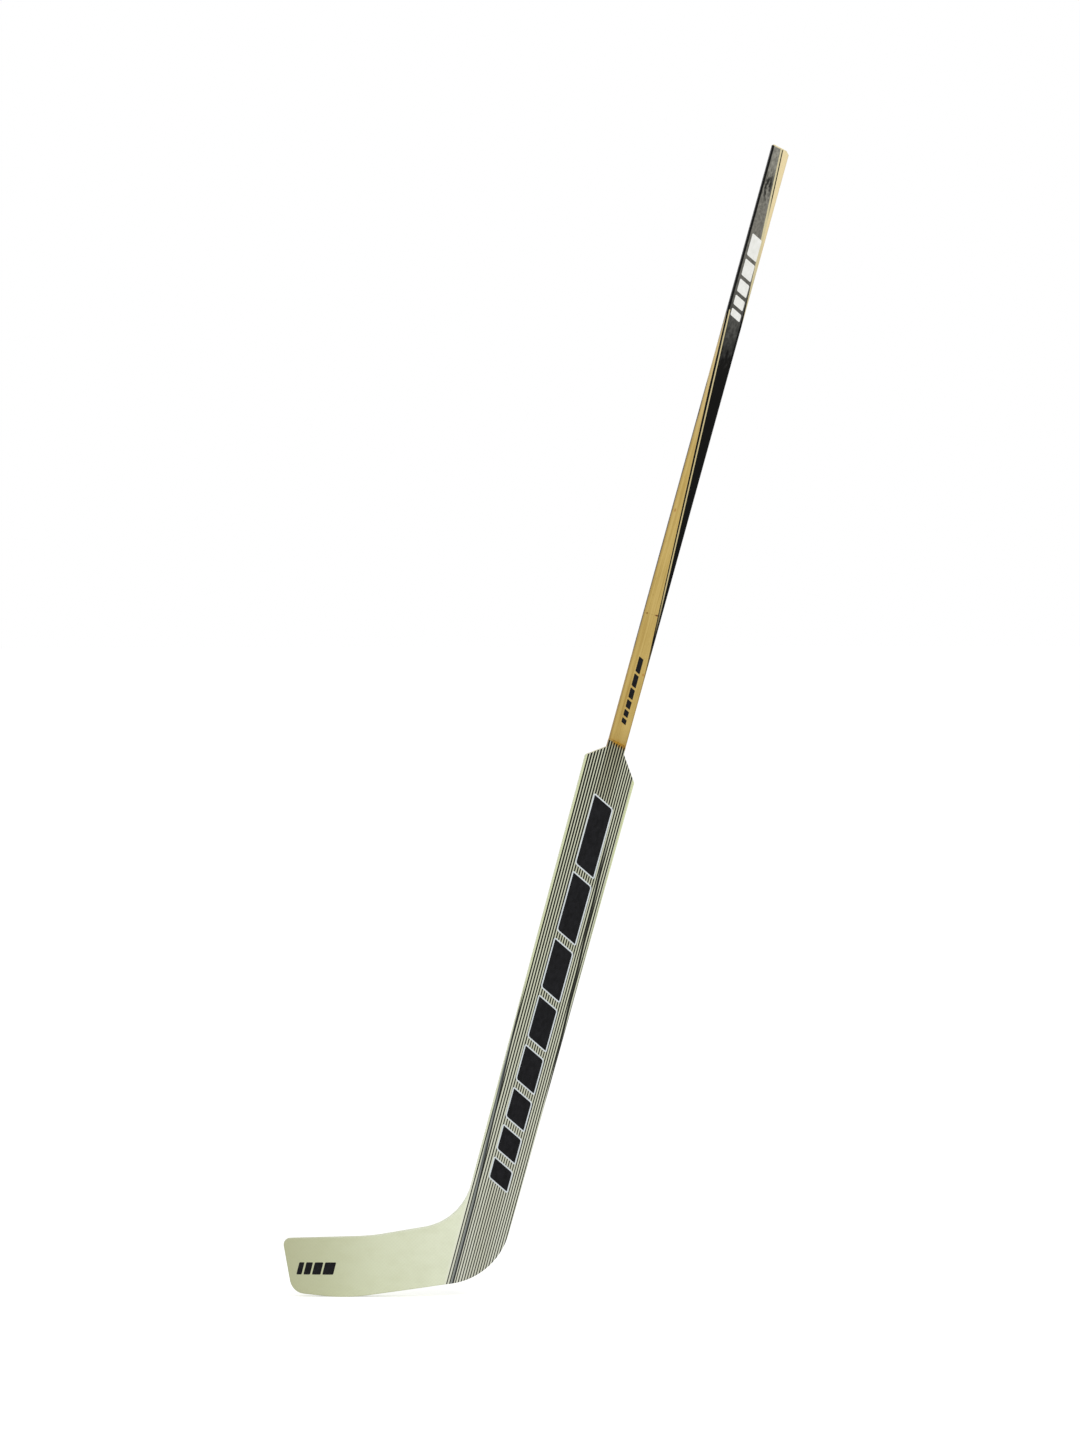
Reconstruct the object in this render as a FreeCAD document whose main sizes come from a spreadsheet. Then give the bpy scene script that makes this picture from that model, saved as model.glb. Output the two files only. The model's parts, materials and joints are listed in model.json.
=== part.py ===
import FreeCAD, Part
import math
import os
import Sketcher

# Hockey goalie stick: a laminated wooden handle whose lower half is a tongue between two foam cores,
# a paddle faced with striped glass cloth, and a curved foam blade let into a block at the heel.
#
# Frame: +Z up, +X from the toe towards the heel, the photographed face looks along -Y.
# The origin is on the handle's axis at the neck, where the handle enters the paddle.
# Outlines are drawn in the stick's own plane as (across, along): across grows towards the heel,
# along grows up the handle, and the whole plane then leans over by the angle "lean".

# Driving sizes in millimetres, and "lean" in degrees. A "drop" is measured down from the neck,
# a "rise" up from the foot of the joint between paddle and blade, a "half" sideways from the axis.
SIZES = {
    "lean": 15.4,
    # handle
    "handle_length": 811.0,
    "handle_width": 24.0,
    "center_ply": 5.0,
    "inner_ply": 4.0,
    "face_veneer": 3.0,
    "handle_round": 2.6,
    "butt_bevel": 1.6,
    "butt_corner": 4.6,
    "butt_fall": 4.1,
    "butt_corner_fall": 4.6,
    "veneer_joint": 178.0,
    "tongue_tip": 16.0,
    "tenon_length": 32.0,
    "tenon_width": 10.0,
    # paddle
    "paddle_length": 737.0,
    "toe_neck_drop": 4.0,
    "toe_corner_drop": 21.5,
    "toe_half_top": 35.9,
    "toe_half_horn": 30.7,
    "toe_strip_top": 2.2,
    "toe_strip_horn": 1.0,
    "heel_neck_drop": 8.0,
    "heel_corner_drop": 40.5,
    "heel_half_top": 34.9,
    "heel_half_foot": 32.8,
    "heel_rise": 25.0,
    "heel_round": 90.0,
    "shoulder_round": 3.0,
    "toe_cap_drop": 5.0,
    "heel_cap_drop": 9.0,
    "heel_strip": 5.0,
    "strip_round": 0.8,
    # glass cloth on both faces of the paddle
    "cloth_thickness": 1.5,
    "cloth_bevel": 0.6,
    "cloth_heel_top": 31.7,
    "cloth_meet_drop": 343.0,
    "cloth_tip_rise": 5.5,
    "cloth_end_rise": 0.3,
    # heel block and the blade's tongue in it
    "heel_block_height": 135.0,
    "blade_tongue_depth": 7.0,
    "blade_tongue_reach": 25.0,
    "blade_tongue_root": 6.0,
    "blade_tongue_top": 84.0,
    "blade_tongue_foot": 44.0,
    "fit_gap": 0.2,
    # blade, measured from the foot of its joint with the paddle
    "horn_rise": 145.0,
    "inner_heel_rise": 85.0,
    "inner_heel_round": 75.0,
    "top_bend_reach": 96.4,
    "top_bend_rise": 62.7,
    "toe_top_reach": 212.7,
    "toe_top_rise": 59.3,
    "toe_rake": 12.5,
    "toe_foot_fall": 10.8,
    "rocker_run": 69.8,
    "rocker_rise": 7.2,
    "edge_bend_round": 250.0,
    "toe_top_round": 9.0,
    "toe_foot_round": 20.0,
    "blade_edge": 5.0,
    "blade_bevel": 0.8,
    "toe_split_rise": 12.0,
    # curve of the blade in plan
    "curve_start_reach": 20.0,
    "front_curve": 1100.0,
    "back_curve": 1700.0,
}

# Lengths of construction solids that are only cut away again.
SPARE = 40.0
DEEP = 120.0

doc = FreeCAD.newDocument("goalie_stick")
sheet = doc.addObject("Spreadsheet::Sheet", "sizes")
for row, (name, number) in enumerate(SIZES.items(), start=1):
    sheet.set(f"A{row}", str(number))
    sheet.setAlias(f"A{row}", name)
doc.recompute()

# Sizes that follow from the driving ones, as expressions on the sheet.
CORE = "(sizes.center_ply + 2 * sizes.inner_ply + 2 * sizes.face_veneer)"
FACE = f"({CORE} / 2 + sizes.cloth_thickness)"
TONGUE = "(sizes.paddle_length - sizes.heel_block_height)"
HORN = "(sizes.paddle_length - sizes.horn_rise)"
HEEL = "(sizes.paddle_length - sizes.heel_rise)"
TOE_FOOT = "(sizes.toe_top_reach - sizes.toe_rake)"
SOLE_FALL = "(sizes.toe_foot_fall + sizes.rocker_rise)"


def between(start, end, share):
    """Expression for the value that lies a share of the way from start to end."""
    return f"(({start}) + (({end}) - ({start})) * ({share}))"


def tongue_half(drop):
    """Half width of the handle's tongue at a drop below the neck."""
    return between("sizes.handle_width / 2", "sizes.tongue_tip / 2", f"({drop}) / {TONGUE}")


def toe_shoulder(across):
    """Drop of the sloping toe-side shoulder at a distance from the axis."""
    share = f"(({across}) - sizes.handle_width / 2) / (sizes.toe_half_top - sizes.handle_width / 2)"
    return between("sizes.toe_neck_drop", "sizes.toe_corner_drop", share)


def heel_shoulder(across):
    """Drop of the steeper heel-side shoulder at a distance from the axis."""
    share = f"(({across}) - sizes.handle_width / 2) / (sizes.heel_half_top - sizes.handle_width / 2)"
    return between("sizes.heel_neck_drop", "sizes.heel_corner_drop", share)


def toe_side(drop):
    """Distance from the axis to the paddle's outer edge on the toe side."""
    share = f"(({drop}) - sizes.toe_corner_drop) / ({HORN} - sizes.toe_corner_drop)"
    return between("sizes.toe_half_top", "sizes.toe_half_horn", share)


def heel_side(drop):
    """Distance from the axis to the paddle's outer edge on the heel side."""
    share = f"(({drop}) - sizes.heel_corner_drop) / ({HEEL} - sizes.heel_corner_drop)"
    return between("sizes.heel_half_top", "sizes.heel_half_foot", share)


CLOTH_TOP = "(sizes.toe_half_top - sizes.toe_strip_top)"
CLOTH_TOP_DROP = toe_shoulder(CLOTH_TOP)
STRIP_TOP = "(sizes.heel_half_top - sizes.heel_strip)"
STRIP_TOP_DROP = heel_shoulder(STRIP_TOP)


def cloth_line(drop):
    """Distance from the axis to the straight toe-side border of the striped cloth."""
    share = f"(({drop}) - {CLOTH_TOP_DROP}) / ({HORN} - {CLOTH_TOP_DROP})"
    return between(CLOTH_TOP, "sizes.toe_half_horn - sizes.toe_strip_horn", share)


CLOTH_FOOT = cloth_line("sizes.paddle_length")


def strip_line(drop):
    """Distance from the axis to the inner side of the heel-side edge strip."""
    share = f"(({drop}) - {STRIP_TOP_DROP}) / ({HEEL} - {STRIP_TOP_DROP})"
    return between(STRIP_TOP, "sizes.heel_half_foot - sizes.heel_strip", share)


def toe_point(half, drop):
    """A corner on the toe side of the axis, as (across, along)."""
    return (f"-({half})", f"-({drop})")


def heel_point(half, drop):
    """A corner on the heel side of the axis, as (across, along)."""
    return (half, f"-({drop})")


def upright(corner):
    """The same corner in the upright frame, as (X, Z), for pieces that aren't leant over."""
    across, along = corner
    return (
        f"({along}) * sin(sizes.lean) + ({across}) * cos(sizes.lean)",
        f"({along}) * cos(sizes.lean) - ({across}) * sin(sizes.lean)",
    )


def origin_plane(body, role):
    """One of the body's own base planes."""
    return next(f for f in body.Origin.OriginFeatures if f.Role == role)


def outline(body, name, corners, front):
    """A closed outline of straight sides on the stick's plane, its corners held by expressions."""
    sketch = body.newObject("Sketcher::SketchObject", name)
    sketch.AttachmentSupport = (origin_plane(body, "XZ_Plane"), [""])
    sketch.MapMode = "FlatFace"
    sketch.setExpression("AttachmentOffset.Base.z", front)
    count = len(corners)
    turn = 2 * math.pi / count
    rough = [
        FreeCAD.Vector(DEEP * math.cos(turn * i), DEEP * math.sin(turn * i), 0)
        for i in range(count)
    ]
    for i in range(count):
        sketch.addGeometry(Part.LineSegment(rough[i], rough[(i + 1) % count]))
    for i in range(count):
        sketch.addConstraint(Sketcher.Constraint("Coincident", i, 2, (i + 1) % count, 1))
    for i, (across, along) in enumerate(corners.values()):
        held_x = sketch.addConstraint(Sketcher.Constraint("DistanceX", -1, 1, i, 1, rough[i].x))
        held_y = sketch.addConstraint(Sketcher.Constraint("DistanceY", -1, 1, i, 1, rough[i].y))
        sketch.setExpression(f"Constraints[{held_x}]", across)
        sketch.setExpression(f"Constraints[{held_y}]", along)
    return sketch


def corner_places(sketch, corners):
    """Where the named corners of an outline came to lie, as points (across, along)."""
    doc.recompute()
    return {name: sketch.getPoint(i, 1) for i, name in enumerate(corners)}


def edge_middle(edge):
    """The point halfway along an edge."""
    return edge.valueAt((edge.FirstParameter + edge.LastParameter) / 2)


def corner_edges(shape, places):
    """Names of the edges that stand square to the outline at the given corners."""
    names = []
    for place in places:
        gaps = {}
        for i, edge in enumerate(shape.Edges, start=1):
            middle = edge_middle(edge)
            first, last = edge.Vertexes[0].Point, edge.Vertexes[-1].Point
            if abs(first.x - last.x) + abs(first.z - last.z) < 1e-6:
                gaps[f"Edge{i}"] = math.hypot(middle.x - place.x, middle.z - place.y)
        names.append(min(gaps, key=gaps.get))
    return names


def side_edges(shape, start, end, levels):
    """Names of the edges along one side of an outline, on the faces at the given levels of Y."""
    span = math.hypot(end.x - start.x, end.y - start.y)
    names = []
    for i, edge in enumerate(shape.Edges, start=1):
        points = [edge.Vertexes[0].Point, edge_middle(edge), edge.Vertexes[-1].Point]
        offsets = [
            abs((p.x - start.x) * (end.y - start.y) - (p.z - start.y) * (end.x - start.x)) / span
            for p in points
        ]
        level = any(all(abs(p.y - y) < 1e-6 for p in points) for y in levels)
        if level and max(offsets) < 1e-6:
            names.append(f"Edge{i}")
    return names


def dress(body, kind, name, edges, size):
    """A fillet or chamfer on named edges of the body's last feature."""
    base = body.Tip
    feature = body.newObject(f"PartDesign::{kind}", name)
    feature.Base = (base, edges)
    feature.setExpression("Radius" if kind == "Fillet" else "Size", size)
    doc.recompute()


def plate(label, corners, front, depth, rounds=None, leaning=True):
    """A flat piece: its outline padded backwards from "front" before the middle plane."""
    body = doc.addObject("PartDesign::Body", label)
    body.Label = label
    sketch = outline(body, f"{label}_outline", corners, front)
    pad = body.newObject("PartDesign::Pad", f"{label}_pad")
    pad.Profile = sketch
    pad.Reversed = True
    pad.setExpression("Length", depth)
    if leaning:
        axis = FreeCAD.Vector(0, 1, 0)
        body.Placement = FreeCAD.Placement(FreeCAD.Vector(), FreeCAD.Rotation(axis, sheet.lean))
        body.setExpression("Placement.Rotation.Angle", "sizes.lean")
    places = corner_places(sketch, corners)
    for corner, radius in (rounds or {}).items():
        edges = corner_edges(body.Tip.Shape, [places[corner]])
        dress(body, "Fillet", f"{label}_{corner}_round", edges, radius)
    return body, places


def cut(body, name, corners, front, depth):
    """A pocket in a flat piece, cut backwards from "front" before the middle plane."""
    sketch = outline(body, f"{name}_outline", corners, front)
    doc.recompute()
    before = body.Shape.Volume
    pocket = body.newObject("PartDesign::Pocket", name)
    pocket.Profile = sketch
    pocket.setExpression("Length", depth)
    doc.recompute()
    if body.Shape.Volume >= before:
        raise RuntimeError(f"{name} cuts nothing")


def y_levels(*levels):
    """Numbers for depths given as expressions of the plies, front negative."""
    core = sheet.center_ply + 2 * sheet.inner_ply + 2 * sheet.face_veneer
    known = {"core": core / 2, "face": core / 2 + sheet.cloth_thickness}
    return [known[name] * sign for name, sign in levels]


# Handle: plies glued face to face, the full section down to the neck and a tapering tongue below it.
def butt_corners():
    """The handle's end: sawn a little on the slant, with its heel-side corner taken off."""
    half = "sizes.handle_width / 2"
    fall = "sizes.butt_fall"
    return {
        "top_toe": (f"-{half}", "sizes.handle_length"),
        "cut_heel": (f"{half} - sizes.butt_corner", f"sizes.handle_length - {fall}"),
        "top_heel": (half, f"sizes.handle_length - {fall} - sizes.butt_corner_fall"),
    }


def handle_outline(top, tenon=False):
    """Outline of a ply from its two or three top corners down to the end of the tongue."""
    half = "sizes.handle_width / 2"
    corners = {
        **top,
        "neck_heel": (half, "0"),
        "tip_heel": heel_point("sizes.tongue_tip / 2", TONGUE),
    }
    if tenon:
        end = f"{TONGUE} + sizes.tenon_length"
        corners["root_heel"] = heel_point("sizes.tenon_width / 2", TONGUE)
        corners["end_heel"] = heel_point("sizes.tenon_width / 2", end)
        corners["end_toe"] = toe_point("sizes.tenon_width / 2", end)
        corners["root_toe"] = toe_point("sizes.tenon_width / 2", TONGUE)
    corners["tip_toe"] = toe_point("sizes.tongue_tip / 2", TONGUE)
    corners["neck_toe"] = (f"-{half}", "0")
    return corners


def make_inner_plies():
    """The three plies inside the handle, the middle one with the tenon for the heel block."""
    middle = "sizes.center_ply / 2"
    outer = f"{middle} + sizes.inner_ply"
    plies = {
        "handle_center_ply": (middle, "sizes.center_ply", True),
        "handle_front_ply": (outer, "sizes.inner_ply", False),
        "handle_back_ply": (f"-({middle})", "sizes.inner_ply", False),
    }
    bodies = []
    for label, (front, depth, tenon) in plies.items():
        body, places = plate(label, handle_outline(butt_corners(), tenon), front, depth)
        ends = corner_edges(body.Tip.Shape, [places["top_toe"]])
        dress(body, "Chamfer", f"{label}_butt_bevel", ends, "sizes.butt_bevel")
        bodies.append(body)
    return bodies


def ease_veneer(body, places, level, top, foot, butt):
    """Bevels a veneer's butt end and rounds its long outer corners."""
    if butt:
        ends = corner_edges(body.Tip.Shape, [places["top_toe"]])
        for start, end in (("top_toe", "cut_heel"), ("cut_heel", "top_heel")):
            ends += side_edges(body.Tip.Shape, places[start], places[end], [level])
        dress(body, "Chamfer", f"{body.Label}_butt_bevel", ends, "sizes.butt_bevel")
    long_edges = []
    for side in ("toe", "heel"):
        start, end = places[f"{top}_{side}"], places[f"{foot}_{side}"]
        long_edges += side_edges(body.Tip.Shape, start, end, [level])
    dress(body, "Fillet", f"{body.Label}_round", long_edges, "sizes.handle_round")


def make_veneers():
    """Face veneers: the front one is butted at the cross joint, the back one is whole."""
    half = "sizes.handle_width / 2"
    front_level, back_level = y_levels(("core", -1), ("core", 1))
    upper_corners = {
        **butt_corners(),
        "joint_heel": (half, "sizes.veneer_joint"),
        "joint_toe": (f"-{half}", "sizes.veneer_joint"),
    }
    upper, places = plate(
        "handle_front_veneer_upper", upper_corners, f"{CORE} / 2", "sizes.face_veneer"
    )
    ease_veneer(upper, places, front_level, "top", "joint", True)
    lower_corners = handle_outline({
        "top_toe": (f"-{half}", "sizes.veneer_joint"),
        "top_heel": (half, "sizes.veneer_joint"),
    })
    lower, places = plate(
        "handle_front_veneer_lower", lower_corners, f"{CORE} / 2", "sizes.face_veneer"
    )
    ease_veneer(lower, places, front_level, "top", "neck", False)
    back_front = f"-({CORE} / 2 - sizes.face_veneer)"
    back, places = plate(
        "handle_back_veneer", handle_outline(butt_corners()), back_front, "sizes.face_veneer"
    )
    ease_veneer(back, places, back_level, "top", "neck", True)
    return [upper, lower, back]


# Paddle: foam on both sides of the tongue, closed by shoulder caps and edge strips.
def make_foam_cores():
    """The two foam cores that fill the paddle beside the tongue."""
    toe_cap = f"({CLOTH_TOP_DROP} + sizes.toe_cap_drop)"
    toe_neck = "(sizes.toe_neck_drop + sizes.toe_cap_drop)"
    toe_core, _ = plate("paddle_core_toe_side", {
        "neck": toe_point(tongue_half(toe_neck), toe_neck),
        "shoulder": toe_point(cloth_line(toe_cap), toe_cap),
        "foot": toe_point(cloth_line(TONGUE), TONGUE),
        "tip": toe_point("sizes.tongue_tip / 2", TONGUE),
    }, f"{CORE} / 2", CORE)
    heel_cap = f"({STRIP_TOP_DROP} + sizes.heel_cap_drop)"
    heel_neck = "(sizes.heel_neck_drop + sizes.heel_cap_drop)"
    heel_core, _ = plate("paddle_core_heel_side", {
        "neck": heel_point(tongue_half(heel_neck), heel_neck),
        "shoulder": heel_point(strip_line(heel_cap), heel_cap),
        "foot": heel_point(strip_line(TONGUE), TONGUE),
        "tip": heel_point("sizes.tongue_tip / 2", TONGUE),
    }, f"{CORE} / 2", CORE)
    return [toe_core, heel_core]


def make_shoulder_caps():
    """Sloping caps that close the foam at the shoulders, under the cloth."""
    toe_low = f"({CLOTH_TOP_DROP} + sizes.toe_cap_drop)"
    toe_neck = "(sizes.toe_neck_drop + sizes.toe_cap_drop)"
    toe_cap, _ = plate("toe_shoulder_cap", {
        "neck": toe_point(tongue_half("sizes.toe_neck_drop"), "sizes.toe_neck_drop"),
        "corner": toe_point(CLOTH_TOP, CLOTH_TOP_DROP),
        "low_corner": toe_point(cloth_line(toe_low), toe_low),
        "low_neck": toe_point(tongue_half(toe_neck), toe_neck),
    }, f"{CORE} / 2", CORE)
    heel_low = f"({STRIP_TOP_DROP} + sizes.heel_cap_drop)"
    heel_neck = "(sizes.heel_neck_drop + sizes.heel_cap_drop)"
    heel_cap, _ = plate("heel_shoulder_cap", {
        "neck": heel_point(tongue_half("sizes.heel_neck_drop"), "sizes.heel_neck_drop"),
        "corner": heel_point(STRIP_TOP, STRIP_TOP_DROP),
        "low_corner": heel_point(strip_line(heel_low), heel_low),
        "low_neck": heel_point(tongue_half(heel_neck), heel_neck),
    }, f"{CORE} / 2", CORE)
    return [toe_cap, heel_cap]


def make_toe_edge():
    """Pale rounded strip on the toe side, flush with the cloth on both faces."""
    body, places = plate("paddle_toe_edge", {
        "corner": toe_point("sizes.toe_half_top", "sizes.toe_corner_drop"),
        "inner_top": toe_point(CLOTH_TOP, CLOTH_TOP_DROP),
        "inner_foot": toe_point(cloth_line(HORN), HORN),
        "outer_foot": toe_point("sizes.toe_half_horn", HORN),
    }, FACE, f"2 * {FACE}", {"corner": "sizes.shoulder_round"})
    levels = y_levels(("face", -1), ("face", 1))
    edges = side_edges(body.Tip.Shape, places["corner"], places["outer_foot"], levels)
    dress(body, "Fillet", "paddle_toe_edge_round", edges, "sizes.strip_round")
    return body


def make_heel_edge():
    """Strip on the heel side, under the cloth, from the shoulder to the heel block."""
    body, places = plate("paddle_heel_edge", {
        "corner": heel_point("sizes.heel_half_top", "sizes.heel_corner_drop"),
        "outer_foot": heel_point(heel_side(TONGUE), TONGUE),
        "inner_foot": heel_point(strip_line(TONGUE), TONGUE),
        "inner_top": heel_point(STRIP_TOP, STRIP_TOP_DROP),
    }, f"{CORE} / 2", CORE, {"corner": "sizes.shoulder_round"})
    return body


def heel_outline(inset):
    """Outline of the heel below the tongue, its outer sides moved in by an inset."""
    foot = f"(sizes.paddle_length - ({inset}))"
    top = strip_line(TONGUE) if inset != "0" else heel_side(TONGUE)
    return {
        "top_toe": toe_point(cloth_line(TONGUE), TONGUE),
        "top_heel": heel_point(top, TONGUE),
        "heel": heel_point(f"sizes.heel_half_foot - ({inset})", f"{HEEL} - ({inset})"),
        "foot": toe_point(cloth_line(foot), foot),
    }


def make_heel_block():
    """Block at the heel with a mortise for the handle's tenon and a slot for the blade's tongue."""
    body, _ = plate(
        "heel_block", heel_outline("sizes.heel_strip"), f"{CORE} / 2", CORE,
        {"heel": "sizes.heel_round - sizes.heel_strip"},
    )
    half = "(sizes.tenon_width / 2 + sizes.fit_gap)"
    end = f"{TONGUE} + sizes.tenon_length + sizes.fit_gap"
    cut(body, "tenon_mortise", {
        "top_toe": toe_point(half, TONGUE),
        "top_heel": heel_point(half, TONGUE),
        "end_heel": heel_point(half, end),
        "end_toe": toe_point(half, end),
    }, "sizes.center_ply / 2 + sizes.fit_gap", "sizes.center_ply + 2 * sizes.fit_gap")
    top = "(sizes.paddle_length - sizes.blade_tongue_top - sizes.fit_gap)"
    foot = "(sizes.paddle_length - sizes.blade_tongue_foot + sizes.fit_gap)"
    reach = "(sizes.blade_tongue_reach + sizes.fit_gap)"
    cut(body, "blade_slot", {
        "mouth_top": toe_point(cloth_line(top), top),
        "end_top": toe_point(f"{cloth_line(top)} - {reach}", top),
        "end_foot": toe_point(f"{cloth_line(foot)} - {reach}", foot),
        "mouth_foot": toe_point(cloth_line(foot), foot),
    }, "sizes.blade_tongue_depth / 2 + sizes.fit_gap", "sizes.blade_tongue_depth + 2 * sizes.fit_gap")
    return body


def make_heel_wear_strip():
    """Bent strip round the heel, from the heel-side edge strip to the blade's wear strip."""
    outer, _ = plate(
        "heel_full", heel_outline("0"), f"{CORE} / 2", CORE, {"heel": "sizes.heel_round"}
    )
    inner, _ = plate(
        "heel_filling", heel_outline("sizes.heel_strip"), f"{CORE} / 2", CORE,
        {"heel": "sizes.heel_round - sizes.heel_strip"},
    )
    strip = doc.addObject("Part::Cut", "heel_wear_strip")
    strip.Base = outer
    strip.Tool = inner
    strip.Label = "heel_wear_strip"
    return strip


def make_cloths():
    """Striped glass cloth glued over both faces of the paddle, its tip running up onto the handle."""
    half = "sizes.handle_width / 2"
    corners = {
        "toe_corner": toe_point(CLOTH_TOP, CLOTH_TOP_DROP),
        "toe_neck": toe_point(half, "sizes.toe_neck_drop"),
        "tip": (f"-{half}", "sizes.cloth_tip_rise"),
        "end": (half, "sizes.cloth_end_rise"),
        "heel_neck": heel_point(half, "sizes.heel_neck_drop"),
        "heel_corner": heel_point("sizes.cloth_heel_top", heel_shoulder("sizes.cloth_heel_top")),
        "meet": heel_point(heel_side("sizes.cloth_meet_drop"), "sizes.cloth_meet_drop"),
        "heel": heel_point("sizes.heel_half_foot", HEEL),
        "foot": toe_point(CLOTH_FOOT, "sizes.paddle_length"),
    }
    sides = {
        "paddle_front_cloth": (FACE, ("face", -1)),
        "paddle_back_cloth": (f"-{CORE} / 2", ("face", 1)),
    }
    names = list(corners)
    bodies = []
    for label, (front, level) in sides.items():
        body, places = plate(
            label, corners, front, "sizes.cloth_thickness", {"heel": "sizes.heel_round"}
        )
        edges = []
        for first, second in zip(names, names[1:]):
            start, end = places[first], places[second]
            edges += side_edges(body.Tip.Shape, start, end, y_levels(level))
        dress(body, "Chamfer", f"{label}_bevel", edges, "sizes.cloth_bevel")
        bodies.append(body)
    return bodies


# Blade: an upright outline cut by bands that curve in plan, clipped where it meets the paddle.
def from_foot(reach, rise):
    """A blade corner, as (X, Z), measured towards the toe and up from the foot of the joint."""
    foot_x, foot_z = upright(toe_point(CLOTH_FOOT, "sizes.paddle_length"))
    return (f"{foot_x} - ({reach})", f"{foot_z} + ({rise})")


def blade_corners():
    """Outline of the blade, carried on into the paddle so that only its free sides get an edge."""
    inner_heel = "(sizes.paddle_length - sizes.inner_heel_rise)"
    above = f"({HORN} - {SPARE})"
    return {
        "toe_top": from_foot("sizes.toe_top_reach", "sizes.toe_top_rise"),
        "top_bend": from_foot("sizes.top_bend_reach", "sizes.top_bend_rise"),
        "inner_heel": upright(toe_point(toe_side(inner_heel), inner_heel)),
        "above_horn": upright(toe_point(toe_side(above), above)),
        "in_paddle": upright(heel_point("sizes.heel_half_foot", above)),
        "heel": upright(heel_point("sizes.heel_half_foot", HEEL)),
        "foot": from_foot("0", "0"),
        "sole_bend": from_foot(f"{TOE_FOOT} - sizes.rocker_run", f"-{SOLE_FALL}"),
        "toe_foot": from_foot(TOE_FOOT, "-sizes.toe_foot_fall"),
    }


BLADE_ROUNDS = {
    "toe_top": ("toe_top_round", -1),
    "top_bend": ("edge_bend_round", 1),
    "inner_heel": ("inner_heel_round", 1),
    "sole_bend": ("edge_bend_round", -1),
    "toe_foot": ("toe_foot_round", -1),
}


def make_blade_prisms():
    """The blade's full outline, and the same outline moved in by the width of its edge strips."""
    corners = blade_corners()
    rounds = {corner: f"sizes.{size}" for corner, (size, _) in BLADE_ROUNDS.items()}
    full, places = plate(
        "blade_outline_full", corners, f"{DEEP} / 2", f"{DEEP}", rounds, leaning=False
    )
    sketch = doc.getObject("blade_outline_full_outline")
    inset = doc.addObject("Part::Offset2D", "blade_inset")
    inset.Source = sketch
    inset.Join = "Intersection"
    inset.setExpression("Value", "-sizes.blade_edge")
    filling = doc.addObject("Part::Extrusion", "blade_filling_sharp")
    filling.Base = inset
    filling.DirMode = "Custom"
    filling.Dir = FreeCAD.Vector(0, 1, 0)
    filling.LengthFwd = DEEP
    filling.Solid = True
    doc.recompute()
    inner = doc.addObject("Part::Fillet", "blade_filling")
    inner.Base = filling
    inner_edges = []
    for corner, (size, side) in BLADE_ROUNDS.items():
        edge = corner_edges(filling.Shape, [places[corner]])[0]
        radius = getattr(sheet, size) + side * sheet.blade_edge
        inner_edges.append((int(edge.removeprefix("Edge")), radius, radius))
    inner.Edges = inner_edges
    return full, inner


def plan_band(label, front, front_radius, back, back_radius):
    """A band that is flat at the heel and bends backwards towards the toe, seen in plan."""
    body = doc.addObject("PartDesign::Body", label)
    sketch = body.newObject("Sketcher::SketchObject", f"{label}_plan")
    sketch.AttachmentSupport = (origin_plane(body, "XY_Plane"), [""])
    sketch.MapMode = "FlatFace"
    foot_x, foot_z = upright(toe_point(CLOTH_FOOT, "sizes.paddle_length"))
    bend_x = f"{foot_x} - sizes.curve_start_reach"
    toe_x = f"{foot_x} - sizes.toe_top_reach - {SPARE}"
    rough = {"bend": -240.0, "toe": -470.0, "near": 0.0}
    sides = []
    for level, radius, height in ((front, front_radius, -10.0), (back, back_radius, 10.0)):
        size = sheet.front_curve if "front_curve" in radius else sheet.back_curve
        center = FreeCAD.Vector(rough["bend"], height + size, 0)
        circle = Part.Circle(center, FreeCAD.Vector(0, 0, 1), size)
        sweep = math.asin((rough["bend"] - rough["toe"]) / size)
        start = FreeCAD.Vector(rough["near"], height, 0)
        end = FreeCAD.Vector(rough["bend"], height, 0)
        line = sketch.addGeometry(Part.LineSegment(start, end))
        arc = sketch.addGeometry(Part.ArcOfCircle(circle, 1.5 * math.pi - sweep, 1.5 * math.pi))
        sides.append((line, arc, level, radius))
    (line_f, arc_f, _, _), (line_b, arc_b, _, _) = sides
    toe_end = sketch.addGeometry(Part.LineSegment(
        sketch.getPoint(arc_f, 1), sketch.getPoint(arc_b, 1)
    ))
    near_end = sketch.addGeometry(Part.LineSegment(
        sketch.getPoint(line_f, 1), sketch.getPoint(line_b, 1)
    ))
    for line, arc, level, radius in sides:
        sketch.addConstraint(Sketcher.Constraint("Tangent", line, 2, arc, 2))
        held = {
            level: Sketcher.Constraint("DistanceY", -1, 1, line, 1, 1.0),
            radius: Sketcher.Constraint("Radius", arc, sketch.Geometry[arc].Radius),
            bend_x: Sketcher.Constraint("DistanceX", -1, 1, line, 2, rough["bend"]),
            toe_x: Sketcher.Constraint("DistanceX", -1, 1, arc, 1, rough["toe"]),
        }
        sketch.addConstraint(Sketcher.Constraint("Horizontal", line))
        for size, constraint in held.items():
            index = sketch.addConstraint(constraint)
            sketch.setExpression(f"Constraints[{index}]", size)
    for line, end, point in ((toe_end, 1, (arc_f, 1)), (toe_end, 2, (arc_b, 1)),
                             (near_end, 1, (line_f, 1)), (near_end, 2, (line_b, 1))):
        sketch.addConstraint(Sketcher.Constraint("Coincident", line, end, *point))
    sketch.addConstraint(Sketcher.Constraint("Vertical", near_end))
    sketch.addConstraint(Sketcher.Constraint("PointOnObject", near_end, 1, -2))
    pad = body.newObject("PartDesign::Pad", f"{label}_pad")
    pad.Profile = sketch
    pad.Reversed = True
    pad.setExpression("Length", f"-({foot_z}) + {SOLE_FALL} + {SPARE}")
    return body


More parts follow.
